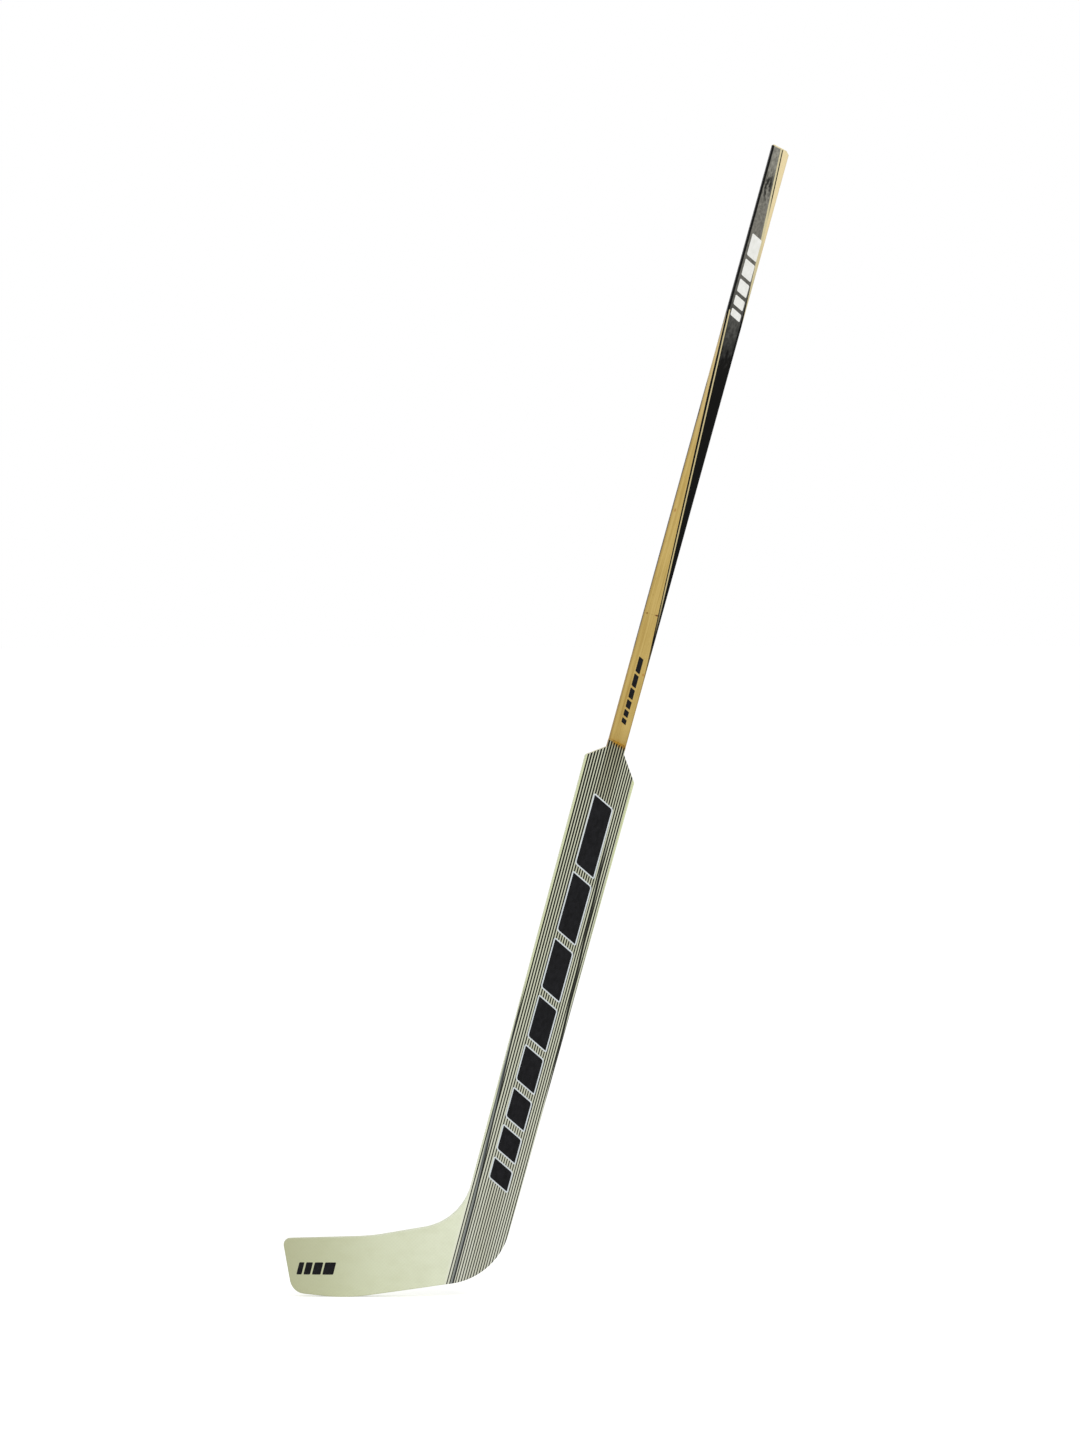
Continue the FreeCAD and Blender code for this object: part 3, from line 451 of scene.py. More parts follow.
def handle_material(name, tones, marks=()):
    """Lacquered wood, planed and sprayed: satin straw-yellow grain under clear lacquer, crossed by a
    black band with cream lines. The black has a grey sheen painted on towards the butt end."""
    material, tree, shader = new_material(name)
    place = place_on_stick(tree)
    across, _, along = add(tree, "ShaderNodeSeparateXYZ", {"Vector": place}).outputs
    colour, streaks = wood_colour(tree, place, tones)

    # Painted light: the wood is paler towards the butt end, where it was lit more.
    painted_light_paling = add(tree, "ShaderNodeMapRange", {
        "Value": along, "From Min": WOOD_PAINTED_LIGHT[0], "From Max": WOOD_PAINTED_LIGHT[1], "To Max": 0.8,
    })
    colour = add(tree, "ShaderNodeMix", {
        "Factor": painted_light_paling, "A": colour, "B": linear("#f8e7bb"),
    }, data_type="RGBA")

    # Painted shade: the rounded edges are a darker tan where they turn away from the light, except high
    # up.
    edge_shade_strength = add(tree, "ShaderNodeMapRange", {
        "Value": along, "From Min": STRIPE_END - EDGE_SHADE_FADE, "From Max": STRIPE_END,
        "To Min": 0.5, "To Max": 0.0,
    })
    painted_edge_shade = add(tree, "ShaderNodeMapRange", {
        "Value": add(tree, "ShaderNodeMath", {0: across}, operation="ABSOLUTE"),
        "From Min": WOOD_EDGE_SHADE[0], "From Max": WOOD_EDGE_SHADE[1], "To Max": edge_shade_strength,
    })
    colour = add(tree, "ShaderNodeMix", {
        "Factor": painted_edge_shade, "A": colour, "B": linear("#96763c"),
    }, data_type="RGBA")

    # A few brown marks, and a faint glue line in the cross joint beside them.
    if marks:
        at_joint = add(tree, "ShaderNodeMath", {
            0: along, 1: VENEER_JOINT, 2: GLUE_LINE,
        }, operation="COMPARE")
        glue = add(tree, "ShaderNodeMath", {0: at_joint, 1: 0.16}, operation="MULTIPLY")
        colour = add(tree, "ShaderNodeMix", {
            "Factor": glue, "A": colour, "B": linear("#7d5a2a"),
        }, data_type="RGBA")
    for mark_across, mark_along, wide, tall, strength, tint in marks:
        stain = add(tree, "ShaderNodeMapRange", {
            "Value": spot(tree, place, mark_across, mark_along, wide, tall),
            "From Min": 0.5, "From Max": 1.2, "To Min": strength, "To Max": 0.0,
        })
        colour = add(tree, "ShaderNodeMix", {
            "Factor": stain, "A": colour, "B": linear(tint),
        }, data_type="RGBA")
    colour = crept_amber(tree, place, colour)

    # Paint: the slanted band, then the narrow side.
    # Noise for the ragged edge of the painted sheen and for the roughness.
    sheen_and_roughness_noise = add(tree, "ShaderNodeTexNoise", {
        "Vector": add(tree, "ShaderNodeMapping", {"Vector": place, "Scale": cells(4.0, 8.0, 13.0)}),
        "Scale": 1.0, "Detail": 4.0, "Roughness": 0.65,
    })
    scuffs = add(tree, "ShaderNodeTexNoise", {
        "Vector": add(tree, "ShaderNodeMapping", {"Vector": place, "Scale": cells(2.4, 6.0, 8.0)}),
        "Scale": 1.0, "Detail": 3.0,
    })
    black = black_with_painted_sheen(tree, place, sheen_and_roughness_noise, scuffs)
    # The cream lines pale upwards with the same painted light.
    cream = add(tree, "ShaderNodeMix", {
        "Factor": painted_light_paling, "A": linear("#cdbd8c"), "B": linear("#dcd2ac"),
    }, data_type="RGBA")
    paints = {"black": black, "cream": cream, "thin black": linear("#1c1a14"), "wood": colour}
    colour = painted_band(tree, place, colour, paints)
    colour = add(tree, "ShaderNodeMix", {
        "Factor": side_paint(tree, place), "A": colour, "B": black,
    }, data_type="RGBA")

    # Sawn butt end: bare pale end grain, without paint.
    facing_up = add(tree, "ShaderNodeVectorMath", {
        0: add(tree, "ShaderNodeNewGeometry").outputs["Normal"], 1: tuple(UP),
    }, operation="DOT_PRODUCT")
    sawn = add(tree, "ShaderNodeMath", {
        0: facing_up.outputs["Value"], 1: SAWN_FACING,
    }, operation="GREATER_THAN")
    end_grain = set_stops(add(tree, "ShaderNodeValToRGB", {"Fac": scuffs}), [
        (0.35, "#d8c690"), (0.6, "#f1e4b8"),
    ])
    colour = add(tree, "ShaderNodeMix", {"Factor": sawn, "A": colour, "B": end_grain}, data_type="RGBA")
    roughness = add(tree, "ShaderNodeMapRange", {"Value": sheen_and_roughness_noise, "To Min": 0.34, "To Max": 0.52})
    finish_surface(tree, shader, colour, roughness, streaks, 0.06 * MM)
    shader.inputs["Specular IOR Level"].default_value = 0.08
    return material


def drifting_lines(tree, place, colour):
    """Wide blurred dark lines over the cloth and its edges, from single dark rovings laid askew. They
    lie on the two wide faces and end at the corners."""
    inward, _, along = add(tree, "ShaderNodeSeparateXYZ", {"Vector": place}).outputs
    normal = add(tree, "ShaderNodeNewGeometry").outputs["Normal"]
    facing = add(tree, "ShaderNodeMath", {
        0: add(tree, "ShaderNodeSeparateXYZ", {"Vector": normal}).outputs["Y"],
    }, operation="ABSOLUTE")
    on_wide_face = add(tree, "ShaderNodeMapRange", {"Value": facing, "From Min": 0.35, "From Max": 0.65})
    for start, drift, furthest, (first, full, fading, gone), layers in DRIFTING_LINES:
        drifted = add(tree, "ShaderNodeMath", {
            0: along, 1: -drift, 2: start * MM,
        }, operation="MULTIPLY_ADD")
        middle = add(tree, "ShaderNodeMath", {0: drifted, 1: furthest * MM}, operation="MINIMUM")
        offset = add(tree, "ShaderNodeMath", {0: inward, 1: middle}, operation="SUBTRACT")
        fade = add(tree, "ShaderNodeMapRange", {
            "Value": along, "From Min": -first, "From Max": -full, "To Max": on_wide_face,
        })
        fade = add(tree, "ShaderNodeMapRange", {
            "Value": along, "From Min": -gone, "From Max": -fading, "To Max": fade,
        })
        for aside, inner, outer, strength, tint in layers:
            from_layer = add(tree, "ShaderNodeMath", {0: offset, 1: aside * MM}, operation="SUBTRACT")
            line = add(tree, "ShaderNodeMapRange", {
                "Value": add(tree, "ShaderNodeMath", {0: from_layer}, operation="ABSOLUTE"),
                "From Min": inner * MM, "From Max": outer * MM, "To Min": strength, "To Max": 0.0,
            })
            cover = add(tree, "ShaderNodeMath", {0: line, 1: fade}, operation="MULTIPLY")
            colour = add(tree, "ShaderNodeMix", {
                "Factor": cover, "A": colour, "B": linear(tint),
            }, data_type="RGBA")
    return colour


def yarn_cover(tree, place):
    """Where the cloth is dark: one where a dark yarn lies, nought between the yarns, counted from the
    border. The yarns are wider towards the neck, most of all on the toe side."""
    inward, _, along = add(tree, "ShaderNodeSeparateXYZ", {"Vector": place}).outputs
    drop = add(tree, "ShaderNodeMath", {0: along, 1: -1.0}, operation="MULTIPLY")
    yarns = add(tree, "ShaderNodeMath", {
        0: drop, 1: YARNS_CLOSING_DOWN, 2: YARNS_PER_METRE,
    }, operation="MULTIPLY_ADD")
    yarns = add(tree, "ShaderNodeMath", {
        0: inward, 1: YARNS_CLOSING_ACROSS, 2: yarns,
    }, operation="MULTIPLY_ADD")
    sway = add(tree, "ShaderNodeTexNoise", {
        "Vector": add(tree, "ShaderNodeMapping", {"Vector": place, "Scale": cells(9.0, 30.0, 90.0)}),
        "Scale": 1.0, "Detail": 1.0,
    })
    swayed = add(tree, "ShaderNodeMath", {0: sway, 1: YARN_SWAY, 2: inward}, operation="MULTIPLY_ADD")
    count = add(tree, "ShaderNodeMath", {0: swayed, 1: yarns, 2: YARN_START}, operation="MULTIPLY_ADD")
    beside_yarn = add(tree, "ShaderNodeMath", {0: count, 1: 0.5}, operation="PINGPONG")
    half_at_border, widening = (
        add(tree, "ShaderNodeMapRange", {
            "Value": drop, "From Max": PADDLE_FOOT, "To Min": at_neck, "To Max": at_foot,
        })
        for at_neck, at_foot in (YARN_HALF, YARN_WIDENING)
    )
    yarn_half = add(tree, "ShaderNodeMath", {
        0: inward, 1: widening, 2: half_at_border,
    }, operation="MULTIPLY_ADD")
    from_yarn_edge = add(tree, "ShaderNodeMath", {0: beside_yarn, 1: yarn_half}, operation="SUBTRACT")
    return add(tree, "ShaderNodeMapRange", {
        "Value": from_yarn_edge,
        "From Min": -YARN_SOFT, "From Max": YARN_SOFT, "To Min": 1.0, "To Max": 0.0,
    })


def cloth_material():
    """Glass cloth with dark yarns, laid up in clear resin: crisp dark and pale lines, a glassy skin over
    a fine weave, a little tan where the wood lies close behind, and wide dark lines that drift."""
    material, tree, shader = new_material("striped_glass_cloth_in_resin")
    place = place_on_stick(tree, LEAN - CLOTH_TURN, (CLOTH_EDGE, 0.0, 0.0))
    inward, _, along = add(tree, "ShaderNodeSeparateXYZ", {"Vector": place}).outputs
    off_axis = add(tree, "ShaderNodeMath", {0: inward, 1: CLOTH_EDGE}, operation="SUBTRACT")

    # Lines lose contrast towards the heel, where the cloth is rubbed.
    wear = add(tree, "ShaderNodeMapRange", {
        "Value": along, "From Min": -CLOTH_RUBBED[0], "From Max": -CLOTH_RUBBED[1],
    })
    pale, dark = (
        set_stops(add(tree, "ShaderNodeValToRGB", {"Fac": wear}), [(0.0, fresh), (1.0, rubbed)])
        for fresh, rubbed in (("#d6d9c0", "#e2e4d4"), ("#12130e", "#23241d"))
    )

    # Wood shows through beside the axis, most of all at the neck.
    near_axis = add(tree, "ShaderNodeMapRange", {
        "Value": add(tree, "ShaderNodeMath", {0: off_axis}, operation="ABSOLUTE"),
        "From Min": WOOD_BEHIND[0], "From Max": WOOD_BEHIND[1], "To Min": 0.55, "To Max": 0.0,
    })
    near_neck = add(tree, "ShaderNodeMapRange", {
        "Value": along, "From Min": -WOOD_BEHIND_FADE[0], "From Max": -WOOD_BEHIND_FADE[1],
        "To Min": 1.0, "To Max": 0.25,
    })
    show_through = add(tree, "ShaderNodeMath", {0: near_axis, 1: near_neck}, operation="MULTIPLY")
    pale = add(tree, "ShaderNodeMix", {
        "Factor": show_through, "A": pale, "B": linear("#8f8866"),
    }, data_type="RGBA")
    mottle = add(tree, "ShaderNodeTexNoise", {
        "Vector": add(tree, "ShaderNodeMapping", {"Vector": place, "Scale": cells(5.0, 5.0, 16.0)}),
        "Scale": 1.0, "Detail": 4.0,
    })
    mottle_cover = add(tree, "ShaderNodeMapRange", {
        "Value": mottle, "From Min": 0.45, "From Max": 0.8, "To Max": 0.35,
    })
    pale = add(tree, "ShaderNodeMix", {
        "Factor": mottle_cover, "A": pale, "B": linear("#c6c8ac"),
    }, data_type="RGBA")

    # Amber resin over the last few millimetres on the handle.
    above_slant = add(tree, "ShaderNodeMath", {
        0: off_axis, 1: CLOTH_END_FALL, 2: along,
    }, operation="MULTIPLY_ADD")
    amber_side = add(tree, "ShaderNodeMapRange", {
        "Value": off_axis, "From Min": AMBER_FROM, "From Max": AMBER_TO, "To Max": 0.8,
    })
    end_amber = add(tree, "ShaderNodeMapRange", {
        "Value": above_slant, "From Min": CLOTH_END - AMBER_ON_CLOTH[0],
        "From Max": CLOTH_END - AMBER_ON_CLOTH[1], "To Max": amber_side,
    })
    pale = add(tree, "ShaderNodeMix", {
        "Factor": end_amber, "A": pale, "B": linear("#bd8f1c"),
    }, data_type="RGBA")
    colour = add(tree, "ShaderNodeMix", {
        "Factor": yarn_cover(tree, place), "A": pale, "B": dark,
    }, data_type="RGBA")
    colour = drifting_lines(tree, place, colour)

    # Fine weave, drawn at 1.7 mm, twice its real spacing, so that it shows.
    weave = add(tree, "ShaderNodeTexChecker", {
        "Vector": add(tree, "ShaderNodeMapping", {"Vector": place, "Scale": cells(1.7, 1.7, 1.7)}),
        "Scale": 1.0,
    })
    relief = add(tree, "ShaderNodeMath", {
        0: weave.outputs["Fac"], 1: 0.25, 2: mottle,
    }, operation="MULTIPLY_ADD")
    roughness = add(tree, "ShaderNodeMapRange", {"Value": mottle, "To Min": 0.30, "To Max": 0.50})
    finish_surface(tree, shader, colour, roughness, relief, 0.08 * MM)
    shader.inputs["Specular IOR Level"].default_value = 0.12
    return material


def glass_fibre_material(name, stops, painted_light_from, painted_light_to, border_resin=None):
    """Glass fibre in clear resin, pressed and sanded: pale greenish cream, a faint woven mottling and a
    soft gloss. The tone changes slowly from one place along X to another; this change is painted light
    and shade."""
    material, tree, shader = new_material(name)
    place = add(tree, "ShaderNodeTexCoord").outputs["Object"]
    reach = add(tree, "ShaderNodeSeparateXYZ", {"Vector": place}).outputs["X"]
    # Painted light and shade: the tone ramp along X.
    share = add(tree, "ShaderNodeMapRange", {"Value": reach, "From Min": painted_light_from, "From Max": painted_light_to})
    tone = set_stops(add(tree, "ShaderNodeValToRGB", {"Fac": share}), stops)
    clouds = add(tree, "ShaderNodeTexNoise", {
        "Vector": add(tree, "ShaderNodeMapping", {"Vector": place, "Scale": cells(22.0, 22.0, 14.0)}),
        "Scale": 1.0, "Detail": 5.0, "Roughness": 0.6,
    })
    cloud_cover = add(tree, "ShaderNodeMapRange", {
        "Value": clouds, "From Min": 0.42, "From Max": 0.75, "To Max": 0.15,
    })
    colour = add(tree, "ShaderNodeMix", {
        "Factor": cloud_cover, "A": tone, "B": linear("#b9b98c"),
    }, data_type="RGBA")
    # Woven roving under the resin, threads 2.4 mm apart.
    weave = add(tree, "ShaderNodeTexChecker", {
        "Vector": add(tree, "ShaderNodeMapping", {"Vector": place, "Scale": cells(2.4, 2.4, 2.4)}),
        "Scale": 1.0,
    })
    thread_cover = add(tree, "ShaderNodeMath", {
        0: weave.outputs["Fac"], 1: 0.045,
    }, operation="MULTIPLY")
    colour = add(tree, "ShaderNodeMix", {
        "Factor": thread_cover, "A": colour, "B": linear("#a6a87e"),
    }, data_type="RGBA")

    # What lies beside the cloth's border: paler resin on the blade, and the dark lines that drift.
    by_cloth = place_on_stick(tree, LEAN - CLOTH_TURN, (CLOTH_EDGE, 0.0, 0.0))
    if border_resin:
        resin_line = add(tree, "ShaderNodeMapRange", {
            "Value": add(tree, "ShaderNodeSeparateXYZ", {"Vector": by_cloth}).outputs["X"],
            "From Min": BORDER_RESIN[0], "From Max": BORDER_RESIN[1], "To Max": 0.75,
        })
        colour = add(tree, "ShaderNodeMix", {
            "Factor": resin_line, "A": colour, "B": linear(border_resin),
        }, data_type="RGBA")
    colour = drifting_lines(tree, by_cloth, colour)
    relief = add(tree, "ShaderNodeMath", {
        0: weave.outputs["Fac"], 1: 0.2, 2: clouds,
    }, operation="MULTIPLY_ADD")
    roughness = add(tree, "ShaderNodeMapRange", {"Value": clouds, "To Min": 0.34, "To Max": 0.54})
    finish_surface(tree, shader, colour, roughness, relief, 0.10 * MM)
    shader.inputs["Specular IOR Level"].default_value = 0.35
    return material


def wood_block_material(name, tones, roughness_range):
    """Sawn wood under the cloth: tan straight grain, dull where bare, glossy where resin soaked in."""
    material, tree, shader = new_material(name)
    colour, streaks = wood_colour(tree, place_on_stick(tree), tones)
    low, high = roughness_range
    roughness = add(tree, "ShaderNodeMapRange", {"Value": streaks, "To Min": low, "To Max": high})
    finish_surface(tree, shader, colour, roughness, streaks, 0.10 * MM)
    return material


def foam_material():
    """Rigid foam, cut from a block: matt cream with open cells about 1.5 mm wide."""
    material, tree, shader = new_material("rigid_foam")
    pores = add(tree, "ShaderNodeTexVoronoi", {
        "Vector": add(tree, "ShaderNodeTexCoord").outputs["Object"], "Scale": 1 / (1.5 * MM),
    })
    colour = set_stops(add(tree, "ShaderNodeValToRGB", {"Fac": pores.outputs["Distance"]}), [
        (0.0, "#cfc8a6"), (0.6, "#ded8ba"),
    ])
    roughness = add(tree, "ShaderNodeMapRange", {
        "Value": pores.outputs["Distance"], "To Min": 0.8, "To Max": 0.95,
    })
    finish_surface(tree, shader, colour, roughness, pores, 0.20 * MM)
    return material


def ink_material(name, tones, roughness_range):
    """Screen-printed ink: an even opaque film, a little mottled where it was pressed on the weave."""
    material, tree, shader = new_material(name)
    place = place_on_stick(tree)
    mottle = add(tree, "ShaderNodeTexNoise", {
        "Vector": add(tree, "ShaderNodeMapping", {"Vector": place, "Scale": cells(5.0, 5.0, 8.0)}),
        "Scale": 1.0, "Detail": 4.0, "Roughness": 0.65,
    })
    deep, rubbed = tones
    colour = set_stops(add(tree, "ShaderNodeValToRGB", {"Fac": mottle}), [(0.35, deep), (0.75, rubbed)])
    low, high = roughness_range
    roughness = add(tree, "ShaderNodeMapRange", {"Value": mottle, "To Min": low, "To Max": high})
    finish_surface(tree, shader, colour, roughness, mottle, 0.03 * MM)
    shader.inputs["Specular IOR Level"].default_value = 0.1
    return material


def amber_material():
    """Cured resin squeezed out from under the cloth: clear amber, glossy, darker where it is thick. On
    the toe side it is so thin that the wood shows through."""
    material, tree, shader = new_material("cured_amber_resin")
    place = place_on_stick(tree)
    depth_noise = add(tree, "ShaderNodeTexNoise", {
        "Vector": add(tree, "ShaderNodeMapping", {"Vector": place, "Scale": cells(2.5, 2.5, 4.0)}),
        "Scale": 1.0, "Detail": 3.0,
    })
    colour = set_stops(add(tree, "ShaderNodeValToRGB", {"Fac": depth_noise}), [
        (0.3, "#7a5000"), (0.55, "#b08002"), (0.75, "#c4960c"),
    ])
    across = add(tree, "ShaderNodeSeparateXYZ", {"Vector": place}).outputs["X"]
    amber_side = add(tree, "ShaderNodeMapRange", {
        "Value": across, "From Min": AMBER_FROM, "From Max": AMBER_TO, "To Min": 0.2,
    })
    colour = add(tree, "ShaderNodeMix", {
        "Factor": amber_side, "A": linear("#b0924e"), "B": colour,
    }, data_type="RGBA")
    roughness = add(tree, "ShaderNodeMapRange", {"Value": depth_noise, "To Min": 0.18, "To Max": 0.34})
    finish_surface(tree, shader, colour, roughness, depth_noise, 0.10 * MM)
    shader.inputs["Specular IOR Level"].default_value = 0.15
    return material


def dress(material, *nodes):
    """Gives CAD nodes a material."""
    for node in nodes:
        NODES[node].data.materials.clear()
        NODES[node].data.materials.append(material)


def select_only(piece, kind, test):
    """In edit mode, selects the faces, edges or corners that pass a test, and nothing else."""
    bpy.ops.mesh.select_mode(type={"faces": "FACE", "edges": "EDGE", "verts": "VERT"}[kind])
    bpy.ops.mesh.select_all(action="DESELECT")
    mesh = bmesh.from_edit_mesh(piece.data)
    for element in getattr(mesh, kind):
        if test(element):
            element.select_set(True)
    mesh.select_flush_mode()
    bmesh.update_edit_mesh(piece.data)


def printed_block(middle, low, high, half_width, face, keyline, inks):
    """One slanted block of ink on a front face: laid out upright, then leant over with the handle."""
    bpy.ops.object.select_all(action="DESELECT")
    bpy.ops.mesh.primitive_cube_add(
        size=1.0, location=(middle, face - (INK - SUNK) / 2, (low + high) / 2),
        scale=(2 * half_width, INK + SUNK, high - low),
    )
    block = bpy.context.object
    bpy.ops.object.transform_apply(location=True, rotation=True, scale=True)
    for ink in inks:
        block.data.materials.append(ink)
    bpy.ops.object.mode_set(mode="EDIT")
    select_only(block, "faces", lambda f: f.normal.x > 0.9)
    bpy.ops.transform.translate(value=(0.0, 0.0, -BLOCK_SLOPE * 2 * half_width))
    select_only(block, "edges", lambda e: abs((e.verts[0].co - e.verts[1].co).normalized().y) > 0.9)
    bpy.ops.mesh.bevel(offset=BLOCK_ROUND * half_width, segments=4, affect="EDGES")
    if keyline:
        select_only(block, "faces", lambda f: f.normal.y < -0.9)
        bpy.ops.mesh.inset(thickness=keyline, depth=0.4 * INK)
        block.active_material_index = 1
        bpy.ops.object.material_slot_assign()
    bpy.ops.object.mode_set(mode="OBJECT")
    block.rotation_euler = (0.0, LEAN, 0.0)
    bpy.ops.object.transform_apply(location=True, rotation=True, scale=True)
    return block


def join_row(name, blocks, slot):
    """Joins the blocks of a printed row into one piece that rides on the stick."""
    bpy.ops.object.select_all(action="DESELECT")
    for block in blocks:
        block.select_set(True)
    bpy.context.view_layer.objects.active = blocks[0]
    bpy.ops.object.join()
    row = bpy.context.object
    row.name = name
    row.data.name = name
    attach(row, "root")


def graduated(start, first, ratio, gap, count):
    """Places of a row of blocks that get shorter: each one's upper and lower end, going down."""
    top, length = start, first
    for _ in range(count):
        yield top, top - length
        top -= length + gap
        length *= ratio


def make_handle_and_paddle_prints(black, pale, white):
    """Rows of slanted blocks, long to short: outlined on the paddle, white and black on the handle. Each
    row's sizes are in millimetres, and its blocks start at the top, counted along the handle."""
    rows = (
        {
            "name": "paddle_print", "face": PADDLE_FRONT, "slot": "front_cloth", "inks": (pale, black),
            "middle": 2.6, "half_width": 15.0, "keyline": 1.7,
            "top": -66.0, "first": 96.0, "ratio": 0.845, "gap": 9.0, "count": 8,
        },
        {
            "name": "upper_handle_print", "face": HANDLE_FRONT, "slot": "front_veneer", "inks": (white,),
            "middle": 0.6, "half_width": 7.0, "keyline": 0.0,
            "top": 692.0, "first": 29.0, "ratio": 0.76, "gap": 5.0, "count": 5,
        },
        {
            "name": "lower_handle_print", "face": HANDLE_FRONT, "slot": "front_veneer", "inks": (black,),
            "middle": 0.6, "half_width": 3.2, "keyline": 0.0,
            "top": 121.0, "first": 20.0, "ratio": 0.80, "gap": 3.0, "count": 6,
        },
    )
    for row in rows:
        places = graduated(row["top"], row["first"], row["ratio"], row["gap"], row["count"])
        blocks = [
            printed_block(
                row["middle"] * MM, low * MM, high * MM, row["half_width"] * MM,
                row["face"], row["keyline"] * MM, row["inks"],
            )
            for high, low in places
        ]
        join_row(row["name"], blocks, row["slot"])


def make_blade_print(ink):
    """Row of small slanted blocks near the toe, laid onto the curved face of the blade."""
    low, high, lean_over = BLADE_SOLE + 29 * MM, BLADE_SOLE + 45 * MM, 4 * MM
    heel_end, first, ratio, gap, count = BLADE_TOE + 64 * MM, 14.2 * MM, 0.78, 2.4 * MM, 4
    in_front = PADDLE_FRONT - 30 * MM
    blocks = []
    for heel_side, toe_side in graduated(heel_end, first, ratio, gap, count):
        bpy.ops.object.select_all(action="DESELECT")
        bpy.ops.mesh.primitive_grid_add(
            x_subdivisions=6, y_subdivisions=1, size=1.0,
            location=((heel_side + toe_side) / 2, in_front, (low + high) / 2),
            rotation=(math.pi / 2, 0.0, 0.0),
        )
        block = bpy.context.object
        block.scale = (heel_side - toe_side, high - low, 1.0)
        bpy.ops.object.transform_apply(location=True, rotation=True, scale=True)
        bpy.ops.object.mode_set(mode="EDIT")
        select_only(block, "verts", lambda v: v.co.z > high - 1e-5)
        bpy.ops.transform.translate(value=(lean_over, 0.0, 0.0))
        select_only(block, "verts", lambda v: len(v.link_faces) == 1)
        bpy.ops.mesh.bevel(offset=BLADE_BLOCK_ROUND, segments=3, affect="VERTICES")
        bpy.ops.object.mode_set(mode="OBJECT")
        wrap = block.modifiers.new("wrap", "SHRINKWRAP")
        wrap.target = NODES["blade_front_skin"]
        wrap.wrap_method = "PROJECT"
        wrap.use_project_y = True
        wrap.use_positive_direction = True
        wrap.use_negative_direction = False
        film = block.modifiers.new("film", "SOLIDIFY")
        film.thickness = INK + SUNK
        film.offset = 1 - 2 * SUNK / (INK + SUNK)
        for modifier in ("wrap", "film"):
            bpy.ops.object.modifier_apply(modifier=modifier)
        block.data.materials.append(ink)
        blocks.append(block)
    join_row("blade_print", blocks, "blade_skin")


def make_resin_beads(amber):
    """Wedge of squeezed-out resin along the slanted end of the cloth, thick at the cloth. It is modelled
    on the front face, then copied and mirrored onto the back."""
    half, tall, thick, sunk, lip = 11.2 * MM, 2.4 * MM, 1.2 * MM, 0.1 * MM, 0.12 * MM
    bpy.ops.object.select_all(action="DESELECT")
    bpy.ops.mesh.primitive_cube_add(
        size=1.0, location=(0.0, HANDLE_FRONT - (thick - sunk) / 2, CLOTH_END + tall / 2),
        scale=(2 * half, thick + sunk, tall),
    )
    front = bpy.context.object
    front.name = front.data.name = "front_resin_bead"
    bpy.ops.object.transform_apply(location=True, rotation=True, scale=True)
    front.data.materials.append(amber)
    bpy.ops.object.mode_set(mode="EDIT")
    for side in (-1, 1):
        select_only(front, "faces", lambda f: f.normal.x * side > 0.9)
        bpy.ops.transform.translate(value=(0.0, 0.0, -side * CLOTH_END_FALL * half))
    select_only(front, "edges", lambda e: abs((e.verts[0].co - e.verts[1].co).normalized().x) > 0.9)
    bpy.ops.mesh.subdivide(number_cuts=14)
    half_way_out = HANDLE_FRONT - thick / 2
    half_way_up = CLOTH_END + tall / 2
    select_only(front, "verts", lambda v: v.co.y < half_way_out
                and v.co.z + CLOTH_END_FALL * v.co.x > half_way_up)
    bpy.ops.transform.translate(value=(0.0, thick - lip, 0.0))
    bpy.ops.transform.vertex_random(offset=0.5 * MM, seed=4)
    select_only(front, "faces", lambda f: f.normal.y < -0.3)
    bpy.ops.mesh.subdivide(number_cuts=1, smoothness=0.6)
    bpy.ops.object.mode_set(mode="OBJECT")
    front.rotation_euler = (0.0, LEAN, 0.0)
    bpy.ops.object.transform_apply(location=True, rotation=True, scale=True)
    bpy.ops.object.shade_smooth_by_angle(angle=math.radians(50))

    bpy.ops.object.duplicate(linked=False)
    back = bpy.context.object
    back.name = back.data.name = "back_resin_bead"
    back.scale.y = -1.0
    back.location.y = HANDLE_FRONT + HANDLE_BACK
    bpy.ops.object.transform_apply(location=True, rotation=True, scale=True)
    bpy.ops.object.mode_set(mode="EDIT")
    bpy.ops.mesh.select_all(action="SELECT")
    bpy.ops.mesh.normals_make_consistent(inside=False)
    bpy.ops.object.mode_set(mode="OBJECT")
    for bead, slot in ((front, "front_cloth"), (back, "back_cloth")):
        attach(bead, "root")


def light_seen(tree):
    """One for what the camera, a reflection or a clear surface sees, nought for scattered light."""
    path = add(tree, "ShaderNodeLightPath")
    direct = add(tree, "ShaderNodeMath", {
        0: path.outputs["Is Camera Ray"], 1: path.outputs["Is Glossy Ray"],
    }, operation="MAXIMUM")
    return add(tree, "ShaderNodeMath", {
        0: direct, 1: path.outputs["Is Transmission Ray"],
    }, operation="MAXIMUM")


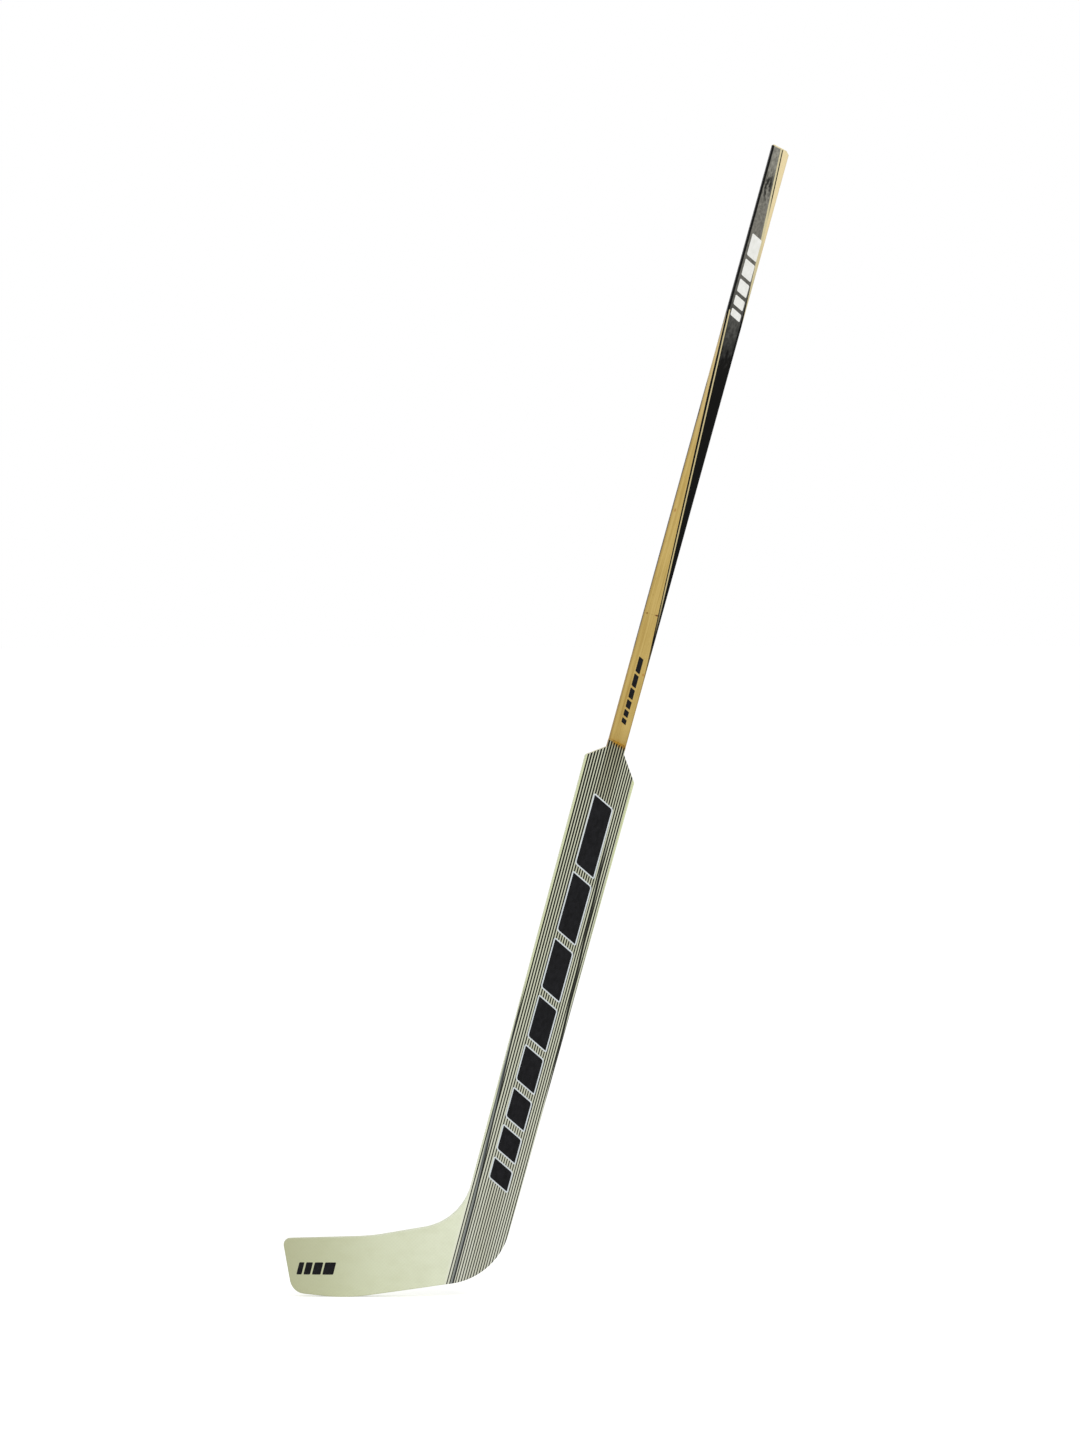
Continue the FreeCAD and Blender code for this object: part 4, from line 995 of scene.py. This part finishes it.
def make_stage():
    """White studio: a pale floor that keeps the shadow, soft lamps and the photograph's camera."""
    scene = bpy.context.scene
    scene.view_settings.view_transform = "Standard"
    world = bpy.data.worlds.new("studio")
    scene.world = world
    world.use_nodes = True
    tree = world.node_tree
    tree.nodes.clear()
    strength = add(tree, "ShaderNodeMapRange", {
        "Value": light_seen(tree), "To Min": WORLD_LIGHT, "To Max": 1.0,
    })
    light = add(tree, "ShaderNodeBackground", {"Color": (1.0, 1.0, 1.0, 1.0), "Strength": strength})
    add(tree, "ShaderNodeOutputWorld", {"Surface": light})

    bpy.ops.object.select_all(action="DESELECT")
    bpy.ops.mesh.primitive_plane_add(size=FLOOR_SIZE, location=(0, 0, CAD_BOX[0].z))
    floor = bpy.context.object
    floor.name = "floor"
    material, tree, shader = new_material("pale_studio_floor")
    shader.inputs["Base Color"].default_value = linear("#f2f2f0")
    shader.inputs["Roughness"].default_value = 0.9
    shader.inputs["Specular IOR Level"].default_value = 0.0
    glow = add(tree, "ShaderNodeMath", {0: light_seen(tree), 1: FLOOR_GLOW}, operation="MULTIPLY")
    shader.inputs["Emission Color"].default_value = (1.0, 1.0, 1.0, 1.0)
    tree.links.new(glow.outputs[0], shader.inputs["Emission Strength"])
    floor.data.materials.append(material)

    target = Vector((
        (IMAGE_WIDTH / 2 - NECK_PIXEL[0]) * PIXEL, 0, (NECK_PIXEL[1] - IMAGE_HEIGHT / 2) * PIXEL,
    ))
    for name, place, size, power in LAMPS:
        bpy.ops.object.light_add(type="AREA", location=place)
        lamp = bpy.context.object
        lamp.name = name
        lamp.data.size = size
        lamp.data.energy = power
        lamp.rotation_euler = (target - Vector(place)).to_track_quat("-Z", "Y").to_euler()

    outward = Vector((
        math.sin(VIEW_AZIMUTH) * math.cos(VIEW_ELEVATION),
        -math.cos(VIEW_AZIMUTH) * math.cos(VIEW_ELEVATION),
        math.sin(VIEW_ELEVATION),
    ))
    place = target + outward * VIEW_DISTANCE
    bpy.ops.object.camera_add(location=place, rotation=(-outward).to_track_quat("-Z", "Y").to_euler())
    camera = bpy.context.object
    camera.data.sensor_fit = "VERTICAL"
    camera.data.sensor_height = SENSOR
    camera.data.lens = SENSOR * VIEW_DISTANCE / (IMAGE_HEIGHT * PIXEL)
    scene.camera = camera


ash = handle_material("lacquered_ash_with_painted_band", ("#b2934e", "#c8ac65", "#d5b974"), WOOD_MARKS)
plain_ash = handle_material("lacquered_ash_back", ("#b2934e", "#c8ac65", "#d5b974"))
birch = handle_material("lacquered_birch_ply_edge", ("#9c7a3e", "#b9985a", "#c9aa6c"))
cloth = cloth_material()
# Painted shade: the blade darkens towards the toe, where its curve turns away from the light.
blade_fibre = glass_fibre_material("pale_glass_fibre_in_resin", [
    (0.0, "#c2c49f"), (0.25, "#d0d4b1"), (0.5, "#e2e7c8"), (1.0, "#f4f9df"),
], BLADE_TOE, BLADE_HEEL, "#f4f7e2")
# Painted light: the edge strips are paler on the toe side, which faces the light.
edge_fibre = glass_fibre_material("glass_fibre_edge_strip", [
    (0.55, "#eef3d8"), (0.64, "#e6ebc8"), (0.75, "#dfe5bb"), (1.0, "#dce2b6"),
], BLADE_TOE, 0.0)
soaked_wood = wood_block_material("resin_soaked_wood", ("#c2b47e", "#d2c796", "#dcd4aa"), (0.25, 0.45))
bare_wood = wood_block_material("sawn_poplar", ("#a1834f", "#bd9f6b", "#cdb384"), (0.65, 0.85))
foam = foam_material()

dress(ash, "handle_front_veneer_upper", "handle_front_veneer_lower")
dress(plain_ash, "handle_back_veneer")
dress(birch, "handle_center_ply", "handle_front_ply", "handle_back_ply")
dress(cloth, "paddle_front_cloth", "paddle_back_cloth")
dress(blade_fibre, "blade_front_skin", "blade_back_skin", "blade_top_edge", "blade_bottom_edge")
dress(edge_fibre, "paddle_toe_edge", "paddle_heel_edge", "heel_wear_strip")
dress(soaked_wood, "toe_shoulder_cap", "heel_shoulder_cap")
dress(bare_wood, "heel_block")
dress(foam, "paddle_core_toe_side", "paddle_core_heel_side", "blade_core")

black_ink = ink_material("black_screen_ink", ("#0c0c0e", "#1f1f22"), (0.4, 0.6))
pale_ink = ink_material("pale_screen_ink", ("#e4ebee", "#d5dddf"), (0.4, 0.6))
white_ink = ink_material("white_screen_ink", ("#f6f6f2", "#e6e6e0"), (0.4, 0.6))
make_handle_and_paddle_prints(black_ink, pale_ink, white_ink)
make_blade_print(black_ink)
make_resin_beads(amber_material())
make_stage()
